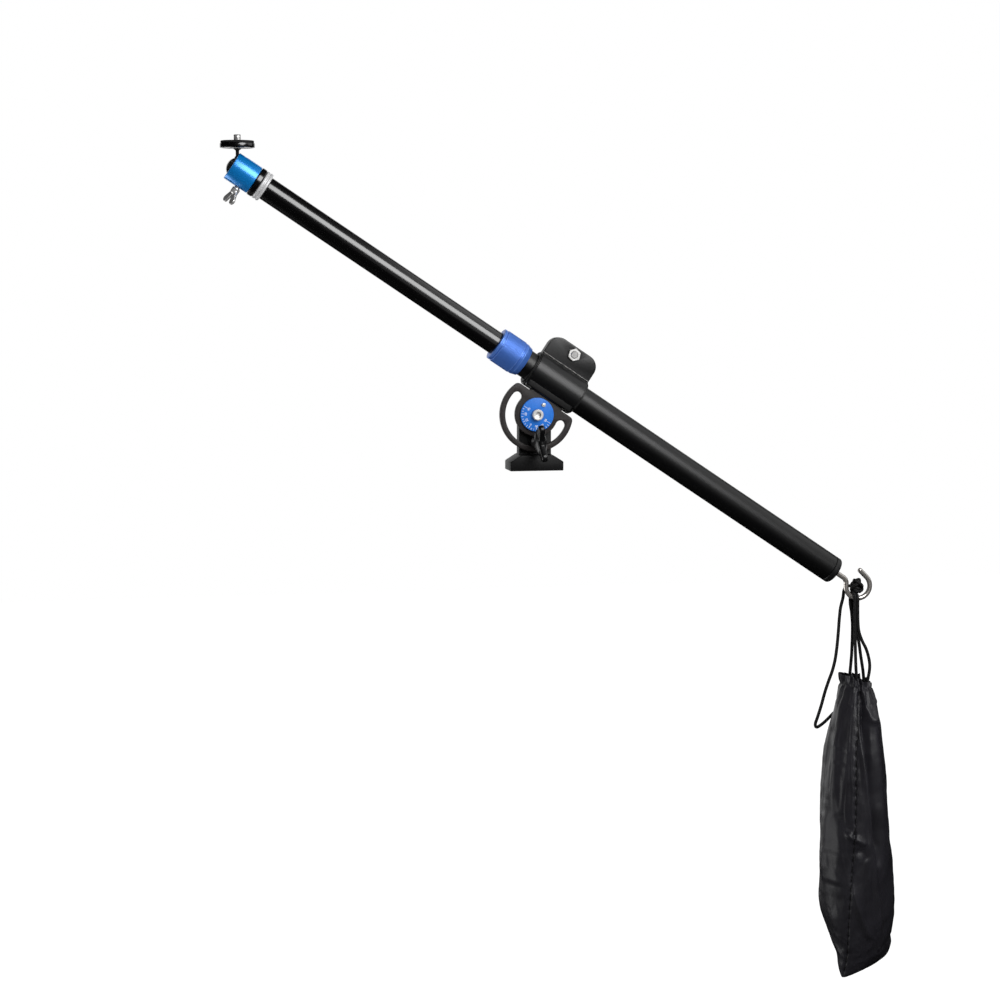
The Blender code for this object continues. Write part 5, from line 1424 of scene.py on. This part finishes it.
# %% Gathers and folds
# A fold is how far it stands out, its width, and its line: height and place across the view.
ACROSS = Vector((math.cos(VIEW_AZIMUTH), math.sin(VIEW_AZIMUTH), 0))
BAG_FOLDS = (
    (0.0028, 0.0032, ((-0.221, 0.2830), (-0.2545, 0.2778), (-0.288, 0.2745), (-0.322, 0.2716),
                      (-0.358, 0.2695), (-0.394, 0.2685))),
    (-0.0034, 0.0026, ((-0.227, 0.2798), (-0.258, 0.2748), (-0.291, 0.2716), (-0.321, 0.2688))),
    (0.0022, 0.0020, ((-0.238, 0.2780), (-0.267, 0.2738), (-0.298, 0.2708), (-0.326, 0.2685))),
    (-0.0085, 0.0040, ((-0.212, 0.3020), (-0.234, 0.3035), (-0.253, 0.3050), (-0.276, 0.3085),
                       (-0.310, 0.3120), (-0.340, 0.3150), (-0.362, 0.3172))),
    (0.0030, 0.0026, ((-0.232, 0.2970), (-0.281, 0.3031), (-0.318, 0.3075), (-0.345, 0.3109),
                      (-0.383, 0.3138), (-0.421, 0.3189), (-0.450, 0.3212))),
    (0.0022, 0.0024, ((-0.214, 0.3110), (-0.257, 0.3150), (-0.303, 0.3195), (-0.350, 0.3225))),
    (0.0030, 0.0020, ((-0.205, 0.3030), (-0.220, 0.3052), (-0.231, 0.3085), (-0.2355, 0.3110))),
    (0.0026, 0.0020, ((-0.214, 0.3142), (-0.228, 0.3138), (-0.2355, 0.3110))),
    (0.0030, 0.0026, ((-0.3335, 0.2850), (-0.3375, 0.2911), (-0.3405, 0.2977), (-0.3445, 0.3040))),
    (-0.0022, 0.0040, ((-0.349, 0.2945), (-0.351, 0.3005), (-0.359, 0.3062))),
    (0.0034, 0.0030, ((-0.381, 0.2903), (-0.396, 0.2943), (-0.411, 0.2993), (-0.425, 0.3052),
                      (-0.435, 0.3101))),
    (-0.0018, 0.0050, ((-0.318, 0.2760), (-0.326, 0.2850), (-0.333, 0.2905))),
    (0.0026, 0.0110, ((-0.351, 0.2775), (-0.384, 0.2785))),
    (-0.0018, 0.0070, ((-0.259, 0.2840), (-0.273, 0.2800))),
)
FAR_FOLDS = (
    (math.radians(40), 0.16, 0.0050, 0.205, 0.350),
    (math.radians(62), 0.12, -0.0030, 0.205, 0.300),
    (math.radians(88), 0.14, 0.0060, 0.200, 0.330),
    (math.radians(125), 0.15, 0.0055, 0.205, 0.390),
    (math.radians(150), 0.12, 0.0035, 0.215, 0.300),
)


def distance_to_line(spot, line):
    """The distance in a plane from a spot to the nearest point of a line, and how far along it lies."""
    best, share = 1.0, 0.0
    for i, (start, end) in enumerate(zip(line, line[1:])):
        run = end - start
        t = min(max((spot - start).dot(run) / run.length_squared, 0), 1)
        away = (spot - start - run * t).length
        if away < best:
            best, share = away, (i + t) / (len(line) - 1)
    return best, share


def near_folds(point):
    """How far the photographed folds move a point of the bag's near side."""
    spot = Vector((point.z, point.dot(ACROSS)))
    moved = 0.0
    for depth, width, line in fold_lines:
        away, share = distance_to_line(spot, line)
        if away < 3 * width:
            taper = min(1.0, 0.35 + 2.2 * min(share, 1 - share) * 2)
            moved += depth * taper * math.exp(-(away / width) ** 2)
    return moved


def gathers(height, turn):
    """Tight pleats at the mouth that fade out below the hem, and long folds on the far side."""
    fade = (1 - soft_step(-height, 0.200, 0.250)) * 0.85 + 0.15 * (1 - soft_step(-height, 0.24, 0.33))
    frill = 1 - soft_step(-height, -BAG_TOP, -CINCH_HEIGHT)
    wander = 0.9 * math.sin(2 * turn + 1.3) + 0.5 * math.sin(5 * turn + 0.4)
    pleats = math.cos(PLEATS * turn + wander) + 0.30 * math.cos(2 * PLEATS * turn + 2.1 + wander)
    moved = 0.0006 * pleats * fade * (1 + 2.2 * frill)
    moved -= 0.0012 * math.exp(-((height - CINCH_HEIGHT) / 0.0020) ** 2)
    for middle, width, depth, start, end in FAR_FOLDS:
        away = math.atan2(math.sin(turn - middle), math.cos(turn - middle)) / width
        down = soft_step(-height, start - 0.012, start) * (1 - soft_step(-height, end * 0.85, end))
        moved -= depth * math.exp(-away * away) * down
    return moved


fold_lines = [(depth, width, [Vector(spot) for spot in line]) for depth, width, line in BAG_FOLDS]

# %% Build the bag's shell
MOUTH_DEPTH = 0.016
MOUTH_FRILL = 0.0018
MOUTH_FALL = 0.0070
MOUTH_TILT = 0.0032


def bag_point(height, turn, closed=False):
    """A point of the plain shell. Turn 0 is the right side, and -90 degrees is the near seam."""
    centre, thickness, width, twist = section_at(height)
    if closed:
        thickness = 0.0
    across = math.copysign(abs(math.cos(turn)) ** BAG_SQUARENESS, math.cos(turn)) * thickness
    along = math.copysign(abs(math.sin(turn)) ** BAG_SQUARENESS, math.sin(turn)) * width
    x = centre + across * math.cos(twist) + along * math.sin(twist)
    y = -across * math.sin(twist) + along * math.cos(twist)
    fall = BOTTOM_FALL * (0.5 + 0.5 * math.sin(turn)) * soft_step(-height, 0.430, 0.474)
    return Vector((x, y, height - fall))


def outward_at(height, turn):
    step = 0.01
    run = bag_point(height, turn + step) - bag_point(height, turn - step)
    return Vector((run.y, -run.x, 0)).normalized()


def make_bag_shell():
    shape = bmesh.new()
    layer = shape.loops.layers.uv.new("UVMap")
    turn_layer = shape.verts.layers.float.new("turn")
    row_layer = shape.verts.layers.float.new("row")
    column_layer = shape.verts.layers.float.new("column")
    last = BAG_SECTIONS[-1][0]
    rows = []
    for row in range(BAG_ROWS + 1):
        height = BAG_TOP + (last - BAG_TOP) * row / BAG_ROWS
        ring = []
        for k in range(BAG_AROUND):
            turn = math.tau * k / BAG_AROUND
            turn += BAG_CROWDING * math.sin(2 * turn)
            point = bag_point(height, turn, row == BAG_ROWS)
            outward = outward_at(height, turn)
            slack = 1 - soft_step(-height, -last - 0.030, -last - 0.006)
            moved = gathers(height, turn)
            if outward.dot(FRONT) > -0.35:
                moved += near_folds(point) * soft_step(outward.dot(FRONT), -0.35, 0.1)
            point += outward * moved * slack
            lift = 1 - soft_step(BAG_TOP - height, 0, MOUTH_DEPTH)
            wave = math.cos(PLEATS * turn + 0.8) * (0.6 + 0.4 * math.sin(3 * turn))
            point.z += lift * MOUTH_FRILL * wave
            point += outward * lift * 0.0008 * math.cos(PLEATS * 2 * turn)
            point.z -= lift * MOUTH_FALL * soft_step(math.cos(turn + 0.5), -0.2, 1.0)
            point.z -= lift * MOUTH_TILT * (0.5 + 0.5 * math.sin(turn))
            corner = shape.verts.new(point)
            corner[turn_layer] = turn
            corner[row_layer] = row
            corner[column_layer] = k
            ring.append(corner)
        rows.append(ring)
    for row in range(BAG_ROWS):
        for k in range(BAG_AROUND):
            j = (k + 1) % BAG_AROUND
            face = shape.faces.new((rows[row][k], rows[row + 1][k], rows[row + 1][j], rows[row][j]))
            corners = ((k, row), (k, row + 1), (k + 1, row + 1), (k + 1, row))
            for loop, (turn_step, down) in zip(face.loops, corners):
                loop[layer].uv = (CLOTH_GIRTH * turn_step / BAG_AROUND, CLOTH_LENGTH * down / BAG_ROWS)
    bmesh.ops.remove_doubles(shape, verts=rows[-1], dist=0.00005)
    bmesh.ops.recalc_face_normals(shape, faces=shape.faces)
    mesh = bpy.data.meshes.new("nylon_weight_bag")
    shape.to_mesh(mesh)
    shape.free()
    bag = bpy.data.objects.new("nylon_weight_bag", mesh)
    bpy.context.scene.collection.objects.link(bag)
    return bag


bag = make_bag_shell()
print("bag shell", len(bag.data.vertices), "points")

# %% Let the cloth settle
CLOTH_FRAMES = 12
CLOTH_GROWTH = -0.012
CLOTH_LIMIT = 0.0009
WRINKLE_SHARE = 0.35
WRINKLE_REACH = 7
PIN_START = -0.200
PIN_END = -0.240
BOTTOM_PIN_START = -0.455
BOTTOM_PIN_END = -0.470


def smooth_line(values, reach, closed):
    """The running mean of a list of vectors, over so many neighbours on each side."""
    count = len(values)
    if closed:
        padded = values[-reach:] + values + values[:reach]
    else:
        padded = [values[0]] * reach + values + [values[-1]] * reach
    total = Vector((0, 0, 0))
    for value in padded[:2 * reach + 1]:
        total += value
    means = []
    for i in range(count):
        means.append(total / (2 * reach + 1))
        if i < count - 1:
            total += padded[i + 2 * reach + 1] - padded[i]
    return means


def keep_wrinkles(piece, before):
    """Takes the slow part of the cloth's movement back, so its outline stays and its wrinkles too."""
    row_of = [round(value.value) for value in piece.data.attributes["row"].data]
    column_of = [round(value.value) for value in piece.data.attributes["column"].data]
    grid = [[Vector((0, 0, 0)) for k in range(BAG_AROUND)] for row in range(BAG_ROWS + 1)]
    for corner, start, row, k in zip(piece.data.vertices, before, row_of, column_of):
        grid[row][k] = corner.co - start
    slow = [list(row) for row in grid]
    for repeat in range(2):
        slow = [smooth_line(row, WRINKLE_REACH, True) for row in slow]
        columns = [smooth_line([row[k] for row in slow], WRINKLE_REACH, False) for k in range(BAG_AROUND)]
        slow = [[columns[k][row] for k in range(BAG_AROUND)] for row in range(BAG_ROWS + 1)]
    largest = 0.0
    for corner, start, row, k in zip(piece.data.vertices, before, row_of, column_of):
        shift = (grid[row][k] - slow[row][k]) * WRINKLE_SHARE
        largest = max(largest, shift.length)
        if shift.length > CLOTH_LIMIT:
            shift *= CLOTH_LIMIT / shift.length
        corner.co = start + shift
    return largest


def settle(piece):
    before = [corner.co.copy() for corner in piece.data.vertices]
    group = piece.vertex_groups.new(name="held")
    for corner in piece.data.vertices:
        top = 1 - soft_step(-corner.co.z, -PIN_START, -PIN_END)
        bottom = soft_step(-corner.co.z, -BOTTOM_PIN_START, -BOTTOM_PIN_END)
        group.add([corner.index], max(top, bottom), "REPLACE")
    cloth = piece.modifiers.new("cloth", "CLOTH")
    settings = cloth.settings
    settings.quality = 6
    settings.mass = 0.12
    settings.tension_stiffness = 20
    settings.compression_stiffness = 14
    settings.shear_stiffness = 8
    settings.bending_stiffness = 0.8
    settings.vertex_group_mass = "held"
    settings.shrink_min = CLOTH_GROWTH
    settings.use_pressure = True
    settings.uniform_pressure_force = 0.3
    settings.effector_weights.gravity = 0.1
    cloth.collision_settings.use_collision = False
    cloth.point_cache.frame_start = 1
    cloth.point_cache.frame_end = CLOTH_FRAMES
    for step_number in range(1, CLOTH_FRAMES + 1):
        bpy.context.scene.frame_set(step_number)
    apply_modifier(piece, cloth)
    bpy.context.scene.frame_set(1)
    largest = keep_wrinkles(piece, before)
    piece.vertex_groups.clear()
    print("wrinkles of up to", round(largest * 1000, 1), "mm")


settle(bag)

# %% Seams, hem and thickness
PUCKER_STEP = 0.0088
PUCKER_DEPTH = 0.0009
PUCKER_WIDTH = 0.0017
SEAM_GROOVE = 0.0009
SEAM_GROOVE_WIDTH = 0.0008
CLOTH_THICKNESS = 0.0005
HEM_HEIGHT = -0.2205
HEM_WIDTH = 0.0011
HEM_DEPTH = 0.0007
HEM_GATHERS = 44
THREAD_RADIUS = 0.00045
STITCH_FIRST = 8
STITCH_STEP = 6
STITCH_ROWS = 4


def press_seams(piece):
    """Pinches the side seams every few millimetres, and presses the hem's stitch line in."""
    piece.data.update()
    normals = [corner.normal.copy() for corner in piece.data.vertices]
    turns = [value.value for value in piece.data.attributes["turn"].data]
    for corner, normal, turn in zip(piece.data.vertices, normals, turns):
        height = corner.co.z
        width = section_at(height)[2]
        from_seam = min(abs(math.atan2(math.sin(turn - BAG_SEAM), math.cos(turn - BAG_SEAM))),
                        abs(math.atan2(math.sin(turn + BAG_SEAM), math.cos(turn + BAG_SEAM))))
        away = from_seam * min(width, section_at(height)[1] * 1.1)
        wobble = noise.noise(Vector((0, 0, height * 60)))
        wave = (0.5 + 0.5 * math.cos(math.tau * height / PUCKER_STEP + 2 * wobble)) ** 3
        depth = PUCKER_DEPTH * wave * math.exp(-(away / PUCKER_WIDTH) ** 2)
        depth += SEAM_GROOVE * math.exp(-(away / SEAM_GROOVE_WIDTH) ** 2)
        hem = math.exp(-((height - HEM_HEIGHT) / HEM_WIDTH) ** 2)
        depth += HEM_DEPTH * hem * (0.6 + 0.4 * math.cos(turn * HEM_GATHERS))
        low_crumple = noise.noise(corner.co * 45) * 0.0010
        crumple = low_crumple + noise.noise(corner.co * 130) * 0.0003
        corner.co += normal * (crumple * soft_step(-height, 0.20, 0.24) - depth)
    for name in ("turn", "row", "column"):
        piece.data.attributes.remove(piece.data.attributes[name])


def stitch_pieces(piece, column):
    """Short threads that lie along one column of the bag's points, from the mouth to the bottom."""
    threads = []
    for row in range(STITCH_FIRST, BAG_ROWS - STITCH_STEP, STITCH_STEP):
        points = []
        for step_down in range(STITCH_ROWS + 1):
            corner = piece.data.vertices[(row + step_down) * BAG_AROUND + column]
            points.append(corner.co + corner.normal * THREAD_RADIUS * 0.3)
        threads.append(sweep("stitch", points, THREAD_RADIUS, 6))
    return threads


press_seams(bag)
bag.data.update()
threads = stitch_pieces(bag, BAG_AROUND // 4) + stitch_pieces(bag, BAG_AROUND * 3 // 4)
stitches = join_pieces("bag_seam_stitches", *threads)
hand_over(stitches, "bag", "nylon_cloth", cord_black, smooth=80)

solid = bag.modifiers.new("thickness", "SOLIDIFY")
solid.thickness = CLOTH_THICKNESS
solid.offset = -1
apply_modifier(bag, solid)
hand_over(bag, "bag", "nylon_cloth", bag_nylon, "weight_bag", smooth=80)

# %% [markdown]
# ## Light and background
# The arm is photographed on plain white. The floor and the world are white for the camera and for
# reflections. Shiny black tubes need something dark to reflect, so black cards stand round the arm
# where only reflections see them, open towards the back. One long soft light above the front gives
# the tubes their highlight. A wide one hangs over the arm, a weak one fills the front, and one from
# the left lies along the boom, so it only meets the bag and the other pieces that face it.

# %% Floor and world
FLOOR_HEIGHT = -1.15
FLOOR_SIZE = 14.0
FLOOR_GLOW = 1.30
AMBIENT = 0.30


def white_mask(tree):
    """1 where a ray comes from the camera, a reflection or clear glass."""
    rays = tree.nodes.new("ShaderNodeLightPath")
    mask = rays.outputs["Is Camera Ray"]
    for name in ("Is Glossy Ray", "Is Transmission Ray"):
        larger = tree.nodes.new("ShaderNodeMath")
        larger.operation = "MAXIMUM"
        tree.links.new(mask, larger.inputs[0])
        tree.links.new(rays.outputs[name], larger.inputs[1])
        mask = larger.outputs["Value"]
    return mask


world = bpy.data.worlds.new("white_room")
bpy.context.scene.world = world
world.use_nodes = True
tree = world.node_tree
background = tree.nodes["Background"]
background.inputs["Color"].default_value = (1, 1, 1, 1)
strength = tree.nodes.new("ShaderNodeMath")
strength.operation = "MULTIPLY_ADD"
strength.inputs[1].default_value = 1 - AMBIENT
strength.inputs[2].default_value = AMBIENT
tree.links.new(white_mask(tree), strength.inputs[0])
tree.links.new(strength.outputs["Value"], background.inputs["Strength"])

floor_white = bpy.data.materials.new("floor_white")
floor_white.use_nodes = True
tree = floor_white.node_tree
paint = tree.nodes["Principled BSDF"]
paint.inputs["Base Color"].default_value = (0.9, 0.9, 0.9, 1)
paint.inputs["Roughness"].default_value = 0.9
glow = tree.nodes.new("ShaderNodeEmission")
glow.inputs["Strength"].default_value = FLOOR_GLOW
mix = tree.nodes.new("ShaderNodeMixShader")
share = tree.nodes.new("ShaderNodeMath")
share.operation = "MULTIPLY"
share.inputs[1].default_value = 0.8
tree.links.new(white_mask(tree), share.inputs[0])
tree.links.new(share.outputs["Value"], mix.inputs["Fac"])
tree.links.new(paint.outputs["BSDF"], mix.inputs[1])
tree.links.new(glow.outputs["Emission"], mix.inputs[2])
tree.links.new(mix.outputs["Shader"], tree.nodes["Material Output"].inputs["Surface"])

deselect()
bpy.ops.mesh.primitive_plane_add(size=FLOOR_SIZE, location=(0, 0, FLOOR_HEIGHT))
floor = bpy.context.active_object
floor.name = "floor"
floor.data.materials.append(floor_white)

# %% Black cards
CARDS_LOW = Vector((-2.6, -3.2, -1.05))
CARDS_HIGH = Vector((2.8, 3.6, 2.3))
card_black = new_finish("card_black", (0.003, 0.003, 0.003), 1.0, gloss=0.0)
card_grain = add_noise(card_black, own_coordinates(card_black), 0.05)
vary_colour(card_black, card_grain, (0.002, 0.002, 0.002), (0.004, 0.004, 0.004))
deselect()
bpy.ops.mesh.primitive_cube_add(size=1, location=(CARDS_LOW + CARDS_HIGH) / 2, scale=CARDS_HIGH - CARDS_LOW)
bpy.ops.object.transform_apply(location=True, rotation=True, scale=True)
cards = bpy.context.active_object
cards.name = "black_cards"
bpy.ops.object.mode_set(mode="EDIT")
bpy.ops.mesh.select_all(action="DESELECT")
bpy.ops.object.mode_set(mode="OBJECT")
for face in cards.data.polygons:
    face.select = face.normal.y > 0.5
bpy.ops.object.mode_set(mode="EDIT")
bpy.ops.mesh.delete(type="FACE")
bpy.ops.mesh.select_all(action="SELECT")
bpy.ops.mesh.flip_normals()
bpy.ops.object.mode_set(mode="OBJECT")
cards.data.materials.append(card_black)
cards.visible_camera = False
cards.visible_diffuse = False
cards.visible_shadow = False
cards.visible_transmission = False

# %% Lights
# Name, turn about the boom, distance from it, place along it, size and power.
SOFT_LIGHTS = (
    ("key_light", 39, 1.5, -0.01, (0.98, 1.05), 20.0),
    ("top_light", 94, 1.5, 0.95, (1.9, 1.5), 7.0),
    ("front_light", 0, 1.6, 0.35, (0.7, 0.7), 0.4),
)
LEFT_LIGHT_PLACE = Vector((-1.2, 0.45, -0.55))
LEFT_LIGHT_AIM = Vector((0.3, 0, -0.38))
LEFT_LIGHT_SIZE = (0.8, 0.8)
LEFT_LIGHT_POWER = 5.5


def area_light(name, place, turn, size, power):
    deselect()
    bpy.ops.object.light_add(type="AREA", location=place)
    light = bpy.context.active_object
    light.name = name
    light.data.shape = "RECTANGLE"
    light.data.size, light.data.size_y = size
    light.data.energy = power
    light.rotation_euler = turn


def soft_light(name, angle, reach, along, size, power):
    """A soft light turned about the boom: 0 is towards the camera and 90 degrees is above."""
    direction = to_camera * math.cos(math.radians(angle)) + to_sky * math.sin(math.radians(angle))
    place = pivot_point + direction * reach + ALONG * along
    turn = Matrix((ALONG, direction.cross(ALONG), direction)).transposed()
    area_light(name, place, turn.to_euler(), size, power)


view = (eye - pivot_point).normalized()
to_camera = (view - ALONG * view.dot(ALONG)).normalized()
to_sky = (ABOVE - to_camera * ABOVE.dot(to_camera)).normalized()
for facts in SOFT_LIGHTS:
    soft_light(*facts)
left_turn = (LEFT_LIGHT_PLACE - LEFT_LIGHT_AIM).to_track_quat("Z", "X").to_euler()
area_light("left_light", LEFT_LIGHT_PLACE, left_turn, LEFT_LIGHT_SIZE, LEFT_LIGHT_POWER)

bpy.context.scene.view_settings.view_transform = "Standard"
